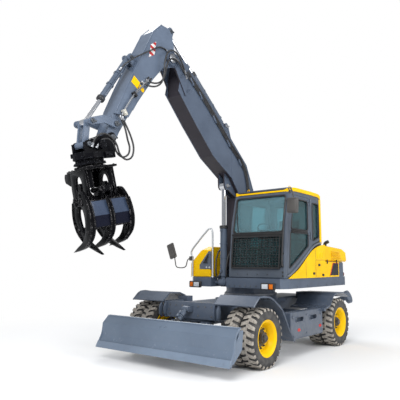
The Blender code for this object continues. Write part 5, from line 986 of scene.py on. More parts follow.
wiper = bmesh.new()
pivot = laid(0.09, cab_face_y(2.03) - 0.022, 2.025)
tip = laid(-0.005, cab_face_y(2.60) - 0.030, 2.60)
add_turning(wiper, [(0, 0.030), (0.014, 0.030), (0.020, 0.022), (0.022, 0.0), (0, 0)], 14,
            stood(pivot + Vector((0, 0.02, 0)), (0, -1, 0)))
add_pipe(wiper, [pivot + Vector((0, -0.012, 0)), pivot.lerp(tip, 0.35) + Vector((0, -0.016, 0)),
                 pivot.lerp(tip, 0.62) + Vector((0, -0.006, 0))], 0.006, 8)
blade_low, blade_high = laid(0.035, cab_face_y(2.20) - 0.014, 2.20), laid(-0.012, cab_face_y(2.64) - 0.014, 2.645)
add_pipe(wiper, [blade_low.lerp(blade_high, t / 6) for t in range(7)], 0.0055, 6)
for part in (0.25, 0.50, 0.75):
    spot = blade_low.lerp(blade_high, part)
    add_block(wiper, spot + Vector((0, -0.006, 0)), (0.020, 0.012, 0.034), None, 0.003)
piece("windscreen_wiper", wiper, vent_black, "upper")

rear_strip = bmesh.new()
add_block(rear_strip, laid(1.034, 2.345, 2.30), (0.012, 0.070, 0.84), None, 0.004)
piece("rear_pillar_strip", rear_strip, sun_yellow, "upper")
side_panel = bmesh.new()
add_sheet(side_panel, [laid(1.0315, y, z) for y, z in ((2.00, 1.735), (2.30, 1.850), (2.30, 1.935), (2.00, 1.850))],
          0.005)
face_out(side_panel)
piece("quarter_lower_panel", side_panel, vent_black, "upper", smooth=False)
sill = bmesh.new()
sill_line = smooth_line([laid(1.034, y, z) for y, z in ((1.02, 1.300), (1.12, 1.318), (1.42, 1.468), (1.90, 1.752),
                                                        (2.10, 1.850), (2.34, 1.900))], 0.04)
add_pipe(sill, sill_line, 0.016, 10)
piece("door_sill_band", sill, rail_grey, "upper")

# Door: a pressed frame round two panes that turns on two hinges at its rear edge. A latch
# bar crosses it between the panes, with a pull handle, and a tube rail is fixed inside.
finish("door", cab_paint)
door_seals = bmesh.new()
for corners, radius in ((((1.18, 2.10), (1.30, 2.63), (1.83, 2.63), (1.83, 2.10)), 0.06),
                        (((1.10, 1.42), (1.16, 2.04), (1.83, 2.04), (1.83, 1.82), (1.42, 1.59)), 0.035)):
    add_pipe(door_seals, rounded_loop([laid(1.0285, y, z) for y, z in corners], radius), 0.011, 8)
piece("door_window_seals", door_seals, seal_rubber, "door")
door_fittings = bmesh.new()
add_block(door_fittings, laid(1.033, 1.50, 2.070), (0.012, 0.62, 0.036), None, 0.004)
add_pipe(door_fittings, smooth_line([laid(1.034, 1.18, 2.03), laid(1.062, 1.19, 2.05), laid(1.066, 1.25, 2.07),
                                     laid(1.062, 1.33, 2.075), laid(1.034, 1.345, 2.07)], 0.015), 0.009, 8)
add_turning(door_fittings, [(0, 0.012), (0.016, 0.012), (0.020, 0.006), (0.020, -0.002)], 18,
            stood(laid(1.034, 1.400, 2.070), (1, 0, 0)))
for z in (1.95, 2.56):
    for k in range(2):
        add_bolt(door_fittings, laid(1.0345, 1.858 + 0.028 * k, z + 0.060), (1, 0, 0), 0.007, 0.005)
piece("door_latch_bar", door_fittings, vent_black, "door")

# Driver's seat: a sprung base, two foam cushions in worn black cloth with sewn channels, arm
# pods with joysticks, and a steering column with a moulded rim.
moulded = enamel("moulded_plastic", (0.030, 0.031, 0.034), (0.020, 0.021, 0.023), rough=0.55, dust=0.12, dust_top=3.0)
finish("steering_column", moulded)


def woven(name, colour, deep):
    """Woven cloth: two crossed runs of thread, its tone worn in patches."""
    made, tree, shader = new_material(name, {"Roughness": 0.9, "Sheen Weight": 0.3})
    place = add_node(tree, "TexCoord")
    weave = add_node(tree, "TexWave", {"Scale": 150.0, "Distortion": 1.5})
    cross_weave = add_node(tree, "TexWave", {"Scale": 150.0, "Distortion": 1.5})
    cross_weave.bands_direction = "Y"
    thread = add_node(tree, "Math", operation="MULTIPLY")
    worn = add_node(tree, "TexNoise", {"Scale": 6.0, "Detail": 6.0})
    tint = add_node(tree, "Mix", {"A": (*deep, 1), "B": (*colour, 1)}, data_type="RGBA")
    bump = add_node(tree, "Bump", {"Strength": 0.4, "Distance": 0.002})
    wire(tree, (place, "Object", weave, "Vector"), (place, "Object", cross_weave, "Vector"),
         (place, "Object", worn, "Vector"), (weave, "Fac", thread, 0), (cross_weave, "Fac", thread, 1),
         (thread, 0, bump, "Height"), (worn, "Fac", tint, "Factor"), (tint, "Result", shader, "Base Color"),
         (bump, 0, shader, "Normal"))
    return made


seat_cloth = woven("seat_cloth", (0.060, 0.062, 0.070), (0.030, 0.031, 0.036))


def cushion(name, centre, size, turn, channels, crown):
    """A crowned cushion with sewn channels across it. Its plan lies in the turned X and Y."""
    shape = bmesh.new()
    across, along = 28, 32
    grid = {}
    for face_side in (1, -1):
        for i in range(across + 1):
            for j in range(along + 1):
                u, v = 2 * i / across - 1, 2 * j / along - 1
                rim = (1 - abs(u) ** 5) * (1 - abs(v) ** 5)
                swell = rim ** 0.42
                pull = 1 - 0.035 * (1 - u * u) * abs(v) ** 6
                pull_x = 1 - 0.035 * (1 - v * v) * abs(u) ** 6
                height = face_side * size[2] / 2 * swell * (0.86 if face_side > 0 else 0.9)
                if face_side > 0:
                    height += crown * (1 - u * u) * (1 - v * v)
                    for channel in channels:
                        height -= 0.012 * math.exp(-((v - channel) / 0.045) ** 2) * rim
                    height -= 0.009 * math.exp(-((abs(u) - 0.68) / 0.05) ** 2) * rim
                edge = (i in (0, across)) or (j in (0, along))
                key = (i, j, 0 if edge else face_side)
                if key not in grid:
                    grid[key] = shape.verts.new((u * size[0] / 2 * pull_x, v * size[1] / 2 * pull,
                                                 0 if edge else height))
    for face_side in (1, -1):
        for i in range(across):
            for j in range(along):
                corners = []
                for a, b in ((i, j), (i + 1, j), (i + 1, j + 1), (i, j + 1)):
                    edge = (a in (0, across)) or (b in (0, along))
                    corners.append(grid[(a, b, 0 if edge else face_side)])
                shape.faces.new(corners if face_side > 0 else corners[::-1])
    bmesh.ops.transform(shape, matrix=Matrix.Translation(centre) @ turn, verts=shape.verts)
    made = piece(name, shape, seat_cloth, "upper", edge=180)
    soften = made.modifiers.new("soft", "SUBSURF")
    soften.levels = 1
    soften.render_levels = 1


SEAT_X = 0.464
FLOOR_Z = 1.3056
cushion("seat_cushion", laid(SEAT_X, 1.85, FLOOR_Z + 0.405), (0.49, 0.47, 0.12), Matrix.Rotation(0.06, 4, "X"),
        (-0.35, 0.0, 0.35), 0.012)
cushion("seat_backrest", laid(SEAT_X, 2.142, FLOOR_Z + 0.735), (0.45, 0.62, 0.10),
        Matrix.Rotation(math.radians(80), 4, "X"),
        (-0.45, -0.1, 0.25, 0.60), 0.010)
base = bmesh.new()
add_block(base, laid(SEAT_X, 1.87, FLOOR_Z + 0.175), (0.38, 0.34, 0.335), None, 0.02)
for k in range(5):
    z = FLOOR_Z + 0.07 + 0.045 * k
    loop = [laid(SEAT_X + sx * 0.196, 1.87 + sy * 0.176, z) for sx, sy in ((-1, -1), (1, -1), (1, 1), (-1, 1))]
    add_pipe(base, rounded_loop(loop, 0.03), 0.012, 8)
for side in (-1, 1):
    add_block(base, laid(SEAT_X + side * 0.292, 1.83, FLOOR_Z + 0.485), (0.105, 0.39, 0.24), None, 0.022)
    add_pipe(base, smooth_line([laid(SEAT_X + side * 0.292, 1.68, FLOOR_Z + 0.60),
                                laid(SEAT_X + side * 0.292, 1.665, FLOOR_Z + 0.70),
                                laid(SEAT_X + side * 0.285, 1.65, FLOOR_Z + 0.775)], 0.02), 0.012, 10)
    add_block(base, laid(SEAT_X + side * 0.283, 1.647, FLOOR_Z + 0.80), (0.045, 0.055, 0.085),
              Matrix.Rotation(0.25, 4, "X"), 0.018)
seat_frame = piece("seat_base_and_pods", base, moulded, "upper")
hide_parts("seat")
head = bmesh.new()
for side in (-1, 1):
    add_pipe(head, [laid(SEAT_X + side * 0.07, 2.19, FLOOR_Z + 1.00), laid(SEAT_X + side * 0.07, 2.20, FLOOR_Z + 1.05)],
             0.006, 8)
piece("headrest_posts", head, moulded, "upper")
cab_floor = bmesh.new()
add_block(cab_floor, laid(SEAT_X, 1.62, 1.308), (1.00, 1.30, 0.006), None, 0.002)
for k in range(14):
    add_pipe(cab_floor, [laid(0.02 + 0.068 * k, 1.05, 1.312), laid(0.02 + 0.068 * k, 1.56, 1.312)], 0.003, 5)
piece("rubber_floor_mat", cab_floor, seal_rubber, "upper")
dash = bmesh.new()
add_block(dash, laid(SEAT_X, 1.255, FLOOR_Z + 0.70), (0.20, 0.07, 0.15), Matrix.Rotation(-0.4, 4, "X"), 0.02)
add_block(dash, laid(0.86, 1.22, FLOOR_Z + 0.74), (0.13, 0.05, 0.19), Matrix.Rotation(-0.25, 4, "X"), 0.015)
add_pipe(dash, [laid(0.86, 1.25, FLOOR_Z), laid(0.86, 1.24, FLOOR_Z + 0.70)], 0.016, 10)
for x in (0.36, 0.57):
    add_block(dash, laid(x, 1.16, FLOOR_Z + 0.06), (0.09, 0.16, 0.012), Matrix.Rotation(0.6, 4, "X"), 0.004)
    add_pipe(dash, [laid(x, 1.22, FLOOR_Z + 0.09), laid(x, 1.20, FLOOR_Z + 0.28)], 0.009, 8)
piece("instrument_pods_and_pedals", dash, moulded, "upper")

# Window guard: a flat-bar frame over the lower front window, filled with welded mesh and
# held off the cab on short posts. The mirrors are moulded heads on bent tube arms, and the
# handrail is one galvanised tube, bent over and footed on the deck.
finish("window_guard", guard_black)
mesh_wires = bmesh.new()
GUARD_LOW, GUARD_HIGH = 1.43, 1.97
MESH_OFF = -0.034
WIRE_R = 0.005
for k in range(1, 16):
    x = -0.01 + 0.948 * k / 16
    if k % 2:
        add_pipe(mesh_wires, [laid(x, cab_face_y(GUARD_LOW) + MESH_OFF, GUARD_LOW),
                              laid(x, cab_face_y(GUARD_HIGH) + MESH_OFF, GUARD_HIGH)], WIRE_R, 6)
for k in range(1, 12):
    if k % 3:
        share = k / 12
        z = GUARD_LOW + (GUARD_HIGH - GUARD_LOW) * share
        y = cab_face_y(GUARD_LOW) + (cab_face_y(GUARD_HIGH) - cab_face_y(GUARD_LOW)) * share + MESH_OFF - 0.004
        add_pipe(mesh_wires, [laid(-0.01, y, z), laid(0.938, y, z)], WIRE_R, 6)
piece("window_guard_mesh", mesh_wires, guard_black, "upper")
mirror_shell = enamel("mirror_shell", (0.078, 0.073, 0.069), (0.052, 0.049, 0.046), rough=0.4, dust=0.1, dust_top=2.6)
silver = enamel("mirror_silver", (0.80, 0.82, 0.84), (0.72, 0.74, 0.77), rough=0.03, dust=0.02, metal=1.0)
MIRRORS = (("left", (1.245, 0.850, 2.450), (0.200, 0.060, 0.255), 3,
            ((1.245, 0.870, 2.50), (1.245, 0.875, 2.63), (1.205, 0.880, 2.735), (1.120, 0.960, 2.760),
             (1.020, 1.180, 2.745))),
           ("right", (-1.395, 0.850, 1.745), (0.165, 0.055, 0.300), -20,
            ((-1.335, 0.865, 1.64), (-1.320, 0.875, 1.52), (-1.300, 0.880, 1.445), (-1.240, 0.885, 1.425),
             (-1.140, 0.905, 1.425), (-1.090, 0.925, 1.460), (-1.080, 0.950, 1.56), (-1.050, 0.972, 1.60),
             (-0.975, 0.975, 1.60))))
for name, head_at, size, lean, arm_line in MIRRORS:
    turn = Matrix.Rotation(math.radians(lean), 4, "Y")
    at = laid(*head_at)
    head = bmesh.new()
    add_block(head, at, size, turn, 0.024)
    add_block(head, at + Vector((0, -0.030, 0)), (size[0] - 0.050, 0.030, size[2] - 0.060), turn, 0.013)
    add_pipe(head, smooth_line([laid(*p) for p in arm_line], 0.03), 0.010, 12)
    add_turning(head, [(0, 0.030), (0.020, 0.028), (0.024, 0.0), (0.024, -0.02)], 16,
                stood(laid(*arm_line[0]), (0, 0, -1 if name == "right" else 1)))
    if name == "right":
        add_block(head, laid(-1.000, 0.975, 1.60), (0.075, 0.062, 0.085), None, 0.012)
    else:
        add_block(head, laid(1.030, 1.185, 2.745), (0.030, 0.070, 0.050), None, 0.008)
    made = piece("mirror_head_" + name, head, mirror_shell, "upper")
    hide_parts("mirror_" + name)
    glass = bmesh.new()
    add_block(glass, at + Vector((0, size[1] / 2 + 0.001, 0)), (size[0] - 0.030, 0.005, size[2] - 0.034), turn, 0.002)
    piece("mirror_glass_" + name, glass, silver, "upper")
galvanised = enamel("galvanised_tube", (0.66, 0.68, 0.70), (0.50, 0.52, 0.54), rough=0.3, dust=0.12, dust_top=2.4,
                    metal=0.4)
rail = bmesh.new()
hand_line = [laid(*p) for p in ((-0.97, 0.975, 1.2556), (-0.97, 0.975, 1.45), (-0.97, 0.975, 1.60),
                                (-0.99, 0.970, 1.74), (-0.80, 0.965, 1.94), (-0.62, 0.965, 2.11),
                                (-0.575, 0.968, 2.150), (-0.525, 0.972, 2.150), (-0.498, 0.978, 2.11),
                                (-0.494, 0.982, 2.00), (-0.494, 0.982, 1.60), (-0.494, 0.982, 1.2556))]
add_pipe(rail, smooth_line(hand_line, 0.025), 0.0165, 14)
for x, y in ((-0.97, 0.975), (-0.494, 0.982)):
    add_turning(rail, [(0.017, 0.012), (0.034, 0.009), (0.036, 0.0), (0.017, 0.0)], 20,
                Matrix.Translation(laid(x, y, DECK_TOP)))
hand = piece("handrail_tube", rail, galvanised, "upper")
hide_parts("handrail")

# Boom: a welded box section in two bends, with cast ends and heavy pins. Four pipes run along
# its left side, under the upper edge, in welded clamps, and hoses lead on from them to the arm.
boom_paint = enamel("boom_enamel", (0.084, 0.110, 0.158), (0.068, 0.090, 0.132), rough=0.22, dust=0.03, dust_top=4.0)
boom_solid = finish("boom", boom_paint)
# Painted shade: the boom's faces that turn to the front and down get a near-black copy of its enamel, standing for the
# shadow on its front and under plates.
boom_front_painted_shade = enamel("boom_front_painted_shade_enamel", (0.034, 0.030, 0.038), (0.026, 0.023, 0.030), rough=0.30, dust=0.03, dust_top=4.0,
                    gloss=0.20)
boom_solid.data.materials.append(boom_front_painted_shade)
for polygon in boom_solid.data.polygons:
    if polygon.normal.y < -0.35:
        polygon.material_index = 1
BOOM_X = -0.30
hose_rubber = worn_rubber("hose_rubber", (0.016, 0.016, 0.017), (0.040, 0.040, 0.042), 0.5, 30.0)
steel_fitting = enamel("steel_fitting", (0.42, 0.43, 0.45), (0.28, 0.29, 0.31), rough=0.28, dust=0.08, dust_top=4.0,
                       metal=0.8)


def pin_ends(name, body_name, pins, cap):
    """Pins with a retaining plate and its bolt on both ends. Rows are (Y, Z, half width, radius)."""
    shape = bmesh.new()
    for y, z, half, radius in pins:
        for side in (-1, 1):
            end = laid(BOOM_X + side * half, y, z)
            add_turning(shape, [(0, 0.012), (radius * 0.82, 0.012), (radius, 0.006), (radius, -0.012), (0, -0.012)], 24,
                        stood(end, (side, 0, 0)))
            add_block(shape, end + Vector((side * 0.010, radius * 0.9, 0)), (0.010, radius * 1.6, radius * 0.7), None,
                      0.003)
            add_bolt(shape, end + Vector((side * 0.014, radius * 1.45, 0)), (side, 0, 0), 0.009, 0.007)
            add_turning(shape, [(0, 0.018), (0.005, 0.016), (0.007, 0.0)], 8,
                        stood(end + Vector((side * 0.012, 0, 0)), (side, 0, 0)))
    piece(name, shape, cap, body_name)


pin_ends("boom_pins", "boom", ((-0.60, 4.84, 0.184, 0.075), (1.06, 4.10, 0.090, 0.034), (1.07, 2.95, 0.090, 0.040)),
         steel_fitting)
boom_seams = bmesh.new()
BOOM_TOP = ((1.72, 1.62), (1.80, 2.30), (1.86, 2.95), (1.62, 3.42), (1.10, 3.84), (0.46, 4.37), (-0.30, 4.92))
BOOM_UNDER = ((-0.42, 4.36), (0.035, 3.90), (0.55, 3.42), (1.12, 3.10), (1.38, 2.80), (1.38, 2.30), (1.352, 1.92))
for line in (BOOM_TOP, BOOM_UNDER):
    for side in (-1, 1):
        add_pipe(boom_seams, [laid(BOOM_X + side * 0.1505, y, z) for y, z in line], 0.0085, 6)
for (y0, z0), (y1, z1) in zip((BOOM_TOP[2], BOOM_TOP[4]), (BOOM_UNDER[4], BOOM_UNDER[3])):
    for side in (-1, 1):
        add_pipe(boom_seams,
                 [laid(BOOM_X + side * 0.1508, y0 + (y1 - y0) * t / 6, z0 + (z1 - z0) * t / 6) for t in range(7)],
                 0.0045, 6)
piece("boom_weld_seams", boom_seams, boom_paint, "boom")

boom_pipes = bmesh.new()
PIPE_RUN = ((1.735, 2.95), (1.585, 3.41), (1.085, 3.815), (0.455, 4.345), (-0.17, 4.80))
for k in range(4):
    x = BOOM_X + 0.168
    lift = 0.018 + 0.030 * k
    run = []
    for y, z in PIPE_RUN:
        run.append(laid(x, y - 0.020 - lift * 0.60, z - 0.020 - lift * 0.72))
    add_pipe(boom_pipes, smooth_line(run, 0.06), 0.0095, 10)
piece("boom_side_pipes", boom_pipes, hose_rubber, "boom")
clamps = bmesh.new()
for y, z in ((1.42, 3.49), (1.04, 3.79), (0.61, 4.15), (0.20, 4.48), (-0.04, 4.66)):
    add_block(clamps, laid(BOOM_X + 0.166, y - 0.048, z - 0.058), (0.034, 0.030, 0.150),
              Matrix.Rotation(math.radians(40), 4, "X"), 0.005)
    for end in (-1, 1):
        add_bolt(clamps, laid(BOOM_X + 0.183, y - 0.048 - end * 0.040, z - 0.058 + end * 0.048), (1, 0, 0), 0.007,
                 0.005)
for y, z in ((-0.36, 4.62), (-0.16, 4.42)):
    foot = laid(BOOM_X + 0.150, y, z)
    loop = [foot + Vector(p) for p in ((-0.004, 0.03, 0.03), (0.030, 0.026, 0.026), (0.040, 0.0, 0.0),
                                       (0.030, -0.026, -0.026), (-0.004, -0.03, -0.03))]
    add_pipe(clamps, smooth_line(loop, 0.01), 0.007, 8)
piece("boom_pipe_clamps", clamps, boom_paint, "boom")

dress_barrel("boom_barrel", laid(BOOM_X, 1.06, 1.16), laid(BOOM_X, 1.07, 2.95), 1.04, 0.072, (0, -1, 0), 0.075)
dress_barrel("arm_barrel", laid(BOOM_X, 1.06, 4.10), laid(BOOM_X, -0.55, 5.36), 1.22, 0.060, (0, 0, 1), 0.060)
dress_barrel("tool_barrel", laid(BOOM_X, -1.42, 4.60), laid(BOOM_X, -2.19, 3.40), 0.95, 0.055, (1, 0.2, 0.3), 0.050)

# Arm: a tapering box with a cast head. Its sides carry a red and white warning stripe and
# two bare yellow plates, and two steel pipes run down to the tool under clamp blocks.
arm_paint = enamel("arm_enamel", (0.122, 0.158, 0.222), (0.098, 0.128, 0.182), rough=0.20, dust=0.03, dust_top=4.5)
finish("arm", arm_paint)
pin_steel = enamel("pin_steel", (0.070, 0.080, 0.095), (0.045, 0.052, 0.062), rough=0.34, dust=0.08, dust_top=4.0,
                   metal=0.3)
pin_ends("arm_pins", "arm", ((-0.55, 5.36, 0.090, 0.036), (-1.42, 4.60, 0.085, 0.032), (-1.76, 3.46, 0.182, 0.040)),
         pin_steel)
stripe_paint, stripe_tree, stripe_shader = new_material("warning_stripe", {"Roughness": 0.35})
stripe_place = add_node(stripe_tree, "TexCoord")
stripe_turn = add_node(stripe_tree, "Mapping", {"Rotation": (math.radians(20), 0, 0)})
stripe_split = add_node(stripe_tree, "SeparateXYZ")
stripe_step = add_node(stripe_tree, "Math", {1: 0.105, 2: 0.0}, operation="WRAP")
stripe_cut = add_node(stripe_tree, "Math", {1: 0.0525}, operation="GREATER_THAN")
stripe_worn = add_node(stripe_tree, "TexNoise", {"Scale": 40.0, "Detail": 6.0})
stripe_red = add_node(stripe_tree, "Mix", {"A": (0.52, 0.020, 0.018, 1), "B": (0.78, 0.78, 0.77, 1)}, data_type="RGBA")
stripe_dirt = add_node(stripe_tree, "Mix", {"Factor": 0.25}, data_type="RGBA")
stripe_dirt.blend_type = "MULTIPLY"
wire(stripe_tree, (stripe_place, "Object", stripe_turn, "Vector"), (stripe_turn, 0, stripe_split, 0),
     (stripe_split, "Z", stripe_step, 0), (stripe_step, 0, stripe_cut, 0), (stripe_cut, 0, stripe_red, "Factor"),
     (stripe_place, "Object", stripe_worn, "Vector"), (stripe_red, "Result", stripe_dirt, "A"),
     (stripe_worn, "Fac", stripe_dirt, "B"), (stripe_dirt, "Result", stripe_shader, "Base Color"))
for side_name, side in SIDES:
    stripe = bmesh.new()
    flat = [laid(BOOM_X + side * 0.1418, y, z) for y, z in
            ((-1.115, 4.690), (-0.990, 4.775), (-0.955, 5.005), (-1.075, 4.915))]
    add_sheet(stripe, flat if side < 0 else flat[::-1], 0.0012)
    face_out(stripe)
    piece("warning_stripe_" + side_name, stripe, stripe_paint, "arm", smooth=False)
    plates = bmesh.new()
    for flat in (((-1.475, 4.180), (-1.345, 4.105), (-1.290, 4.215), (-1.420, 4.290)),
                 ((-1.320, 4.130), (-1.215, 4.070), (-1.195, 4.130), (-1.290, 4.190))):
        corners = [laid(BOOM_X + side * 0.1422, y, z) for y, z in flat]
        add_sheet(plates, corners if side < 0 else corners[::-1], 0.002, bevel=0.0008)
    face_out(plates)
    piece("blank_plates_" + side_name, plates, sun_yellow, "arm", smooth=False)
    disc = bmesh.new()
    for radius in (0.150, 0.118):
        ring = [laid(BOOM_X + side * 0.1725, -0.60 + along, 4.84 + up) for along, up in circle(32, radius)]
        add_pipe(disc, ring + ring[:2], 0.0035, 6)
    piece("boom_tip_disc_" + side_name, disc, boom_paint, "boom")

arm_seams = bmesh.new()
ARM_LINES = (((-0.84, 5.34), (-1.02, 5.16), (-1.30, 4.60), (-1.55, 4.10), (-1.745, 3.67)),
             ((-1.43, 3.75), (-1.34, 3.90), (-1.02, 4.36), (-0.80, 4.62), (-0.55, 4.72)))
for line in ARM_LINES:
    for side in (-1, 1):
        add_pipe(arm_seams, [laid(BOOM_X + side * 0.1405, y, z) for y, z in line], 0.008, 6)
piece("arm_weld_seams", arm_seams, arm_paint, "arm")
arm_pipes = bmesh.new()
for k, x in enumerate((-0.135, -0.112)):
    run = [laid(x, y, z) for y, z in ((-1.13 - 0.03 * k, 4.300), (-1.22 - 0.03 * k, 4.200), (-1.42 - 0.03 * k, 3.980),
                                      (-1.60 - 0.02 * k, 3.720), (-1.66 - 0.02 * k, 3.600))]
    add_pipe(arm_pipes, smooth_line(run, 0.04), 0.0095, 10)
piece("arm_steel_pipes", arm_pipes, steel_fitting, "arm")
arm_clamps = bmesh.new()
add_block(arm_clamps, laid(-0.128, -1.425, 3.985), (0.060, 0.085, 0.040), Matrix.Rotation(math.radians(-38), 4, "X"),
          0.006)
for end in (-1, 1):
    add_bolt(arm_clamps, laid(-0.098, -1.425 + end * 0.024, 3.985 + end * -0.018), (1, 0, 0), 0.008, 0.006)
for y, z in ((-1.115, 4.315), (-1.145, 4.330)):
    add_turning(arm_clamps, [(0, 0.05), (0.013, 0.05), (0.016, 0.045), (0.016, -0.02), (0, -0.02)], 6,
                stood(laid(-0.120 + (y + 1.13) * 0.8, y, z), (0, -0.6, -0.8)))
piece("arm_pipe_clamp", arm_clamps, vent_black, "arm")
cream = enamel("cream_clamp_block", (0.62, 0.60, 0.53), (0.50, 0.48, 0.42), rough=0.5, dust=0.12, dust_top=4.0)
block = bmesh.new()
add_block(block, laid(-0.118, -1.625, 3.655), (0.066, 0.090, 0.048), Matrix.Rotation(math.radians(-55), 4, "X"), 0.006)
for end in (-1, 1):
    add_bolt(block, laid(-0.080, -1.625 + end * 0.022, 3.655 - end * 0.030), (1, 0, 0), 0.008, 0.006)
piece("cream_clamp_block", block, cream, "arm")

# Hoses: wire-braided rubber with crimped steel ends. They cross each joint in a free loop
# and hang between the fittings that hold them.
HOSE_R = 0.0135


def free_hose(name, points, bodies, radius=HOSE_R):
    """A hose through the points with a crimped fitting on both ends."""
    line = [laid(*p) for p in points]
    line = smooth_line(line, max(0.045, sum((b - a).length for a, b in zip(line, line[1:])) / 34))
    shape = bmesh.new()
    add_pipe(shape, line, radius, 12)
    mesh = bpy.data.meshes.new(name)
    shape.to_mesh(mesh)
    shape.free()
    mesh.materials.append(hose_rubber)
    mesh.shade_smooth()
    made = bpy.data.objects.new(name, mesh)
    bpy.context.scene.collection.objects.link(made)
    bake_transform(made)
    for end, (point, after, body_name) in enumerate(((line[0], line[1], bodies[0]), (line[-1], line[-2], bodies[-1]))):
        crimp = bmesh.new()
        place = stood(point, after - point)
        add_turning(crimp, [(radius * 1.02, 0.040), (radius * 1.25, 0.036), (radius * 1.25, 0.004), (radius * 1.1, 0.0),
                            (radius * 1.1, -0.004)], 14, place)
        add_turning(crimp, [(0, 0.0), (radius * 1.55, 0.0), (radius * 1.55, -0.022), (0, -0.022)], 6, place)
        piece(f"{name}_fitting_{end + 1}", crimp, steel_fitting, body_name)


free_hose("arm_loop_hose_outer",
          ((-0.130, -0.27, 4.71), (-0.095, -0.40, 4.83), (-0.070, -0.54, 4.92), (-0.062, -0.69, 4.93),
           (-0.062, -0.80, 4.83), (-0.064, -0.85, 4.66), (-0.066, -0.86, 4.48), (-0.070, -0.91, 4.32),
           (-0.085, -1.02, 4.225), (-0.110, -1.15, 4.200), (-0.135, -1.27, 4.225)),
          ("boom", "arm"))
free_hose("arm_loop_hose_inner",
          ((-0.130, -0.24, 4.63), (-0.105, -0.37, 4.73), (-0.088, -0.51, 4.81), (-0.082, -0.65, 4.81),
           (-0.080, -0.75, 4.72), (-0.080, -0.80, 4.58), (-0.082, -0.84, 4.43), (-0.092, -0.93, 4.32),
           (-0.112, -1.05, 4.275), (-0.135, -1.17, 4.285)),
          ("boom", "arm"))
free_hose("tool_cylinder_hose",
          ((-0.145, -0.700, 4.935), (-0.142, -0.800, 4.948), (-0.140, -0.930, 4.915), (-0.140, -1.120, 4.783),
           (-0.142, -1.300, 4.660), (-0.155, -1.450, 4.545), (-0.195, -1.560, 4.440), (-0.238, -1.625, 4.345)),
          ("arm", "tool_barrel"), radius=0.011)
free_hose("tool_loop_hose_outer",
          ((-0.118, -1.66, 3.565), (-0.095, -1.585, 3.43), (-0.070, -1.525, 3.29), (-0.055, -1.491, 3.151),
           (-0.050, -1.523, 3.011), (-0.050, -1.636, 2.950), (-0.050, -1.754, 3.008), (-0.052, -1.820, 3.140),
           (-0.060, -1.915, 3.225), (-0.075, -2.040, 3.245), (-0.105, -2.140, 3.175), (-0.132, -2.170, 3.060)),
          ("arm", "tool"))
free_hose("tool_loop_hose_inner",
          ((-0.135, -1.69, 3.575), (-0.118, -1.614, 3.439), (-0.100, -1.568, 3.259), (-0.088, -1.539, 3.156),
           (-0.082, -1.564, 3.047), (-0.082, -1.666, 2.985), (-0.082, -1.776, 3.022), (-0.084, -1.853, 3.155),
           (-0.090, -1.950, 3.195), (-0.105, -2.045, 3.152), (-0.134, -2.090, 3.060)),
          ("arm", "tool"))
for side_name, x, way in (("left", -0.200, 1), ("right", -0.400, -1)):
    free_hose("swing_hose_" + side_name,
              ((x, 1.02, 1.20), (x + way * 0.010, 0.985, 1.30), (x + way * 0.020, 0.985, 1.46),
               (x + way * 0.028, 1.02, 1.62), (x + way * 0.034, 1.11, 1.74), (x + way * 0.038, 1.22, 1.80),
               (x + way * 0.040, 1.335, 1.79)), ("upper", "boom"))

# Tool linkage: two bowed rockers, a pair of flat links and their pins, cut from thick plate.
# They tilt the bracket that the rotator hangs from.
for node_name in ("rocker_left", "rocker_right", "tool_link"):
    finish(node_name, arm_paint)
pin_ends("rocker_pins", "rocker", ((-2.19, 3.40, 0.186, 0.034),), pin_steel)
tool_black = enamel("tool_black", (0.006, 0.006, 0.008), (0.003, 0.003, 0.004), rough=0.30, dust=0.0, dust_top=4.0,
                    gloss=0.05)
# Painted highlight: pale edges on the black tool paint stand for the light caught along the rims of the bracket,
# rotator ring and motor.
edge_wear_and_highlight(tool_black, (0.24, 0.26, 0.30), 0.005, 0.50, 0.70)
finish("tool_bracket", tool_black)
pin_ends("tool_pins", "tool", ((-1.80, 3.26, 0.156, 0.042), (-2.21, 3.08, 0.156, 0.036)), pin_steel)

# Rotator: a hydraulic motor under a bolted ring, with a black drum and valve block on the
# bracket. The grapple below it turns without end.
GRAPPLE_UP = Matrix.Translation(laid(BOOM_X, -2.06, 2.815)) @ Matrix.Rotation(math.radians(13), 4, "X")
GRAPPLE_FRAME = GRAPPLE_UP @ Matrix.Rotation(math.radians(70), 4, "Z")
ring = bmesh.new()
add_turning(ring, [(0.150, 0.118), (0.212, 0.118), (0.222, 0.110), (0.222, 0.096), (0.205, 0.088), (0.186, 0.086),
                   (0.186, 0.050), (0.215, 0.046), (0.222, 0.038), (0.222, 0.020), (0.190, 0.016)], 40, GRAPPLE_UP)
for a, b in circle(16, 0.204):
    add_bolt(ring, GRAPPLE_UP @ Vector((a, b, 0.046)), GRAPPLE_UP.to_3x3() @ Vector((0, 0, 1)), 0.010, 0.010)
for k in range(30):
    around = 2 * math.pi * k / 30
    spot = GRAPPLE_UP @ Vector((0.188 * math.cos(around), 0.188 * math.sin(around), 0.068))
    turn = (GRAPPLE_UP.to_3x3() @ Matrix.Rotation(around, 3, "Z"))
    add_block(ring, spot, (0.012, 0.020, 0.034), turn, 0.003)
piece("rotator_ring", ring, tool_black, "tool")
valve = bmesh.new()
drum = stood(laid(-0.125, -2.02, 3.105), (1, 0, 0))
add_turning(valve, [(0, 0.060), (0.045, 0.060), (0.052, 0.054), (0.052, 0.046), (0.062, 0.044), (0.062, -0.01),
                    (0, -0.01)], 28, drum)
for a, b in circle(6, 0.030):
    add_bolt(valve, drum @ Vector((a, b, 0.060)), (1, 0, 0), 0.006, 0.005)
add_block(valve, laid(-0.128, -1.885, 2.985), (0.090, 0.170, 0.085), Matrix.Rotation(math.radians(13), 4, "X"), 0.008)
for k in range(3):
    add_turning(valve, [(0, 0.026), (0.010, 0.026), (0.013, 0.022), (0.013, 0.0)], 6,
                stood(laid(-0.085, -1.94 + 0.050 * k, 2.972 + 0.012 * k), (1, 0, 0)))
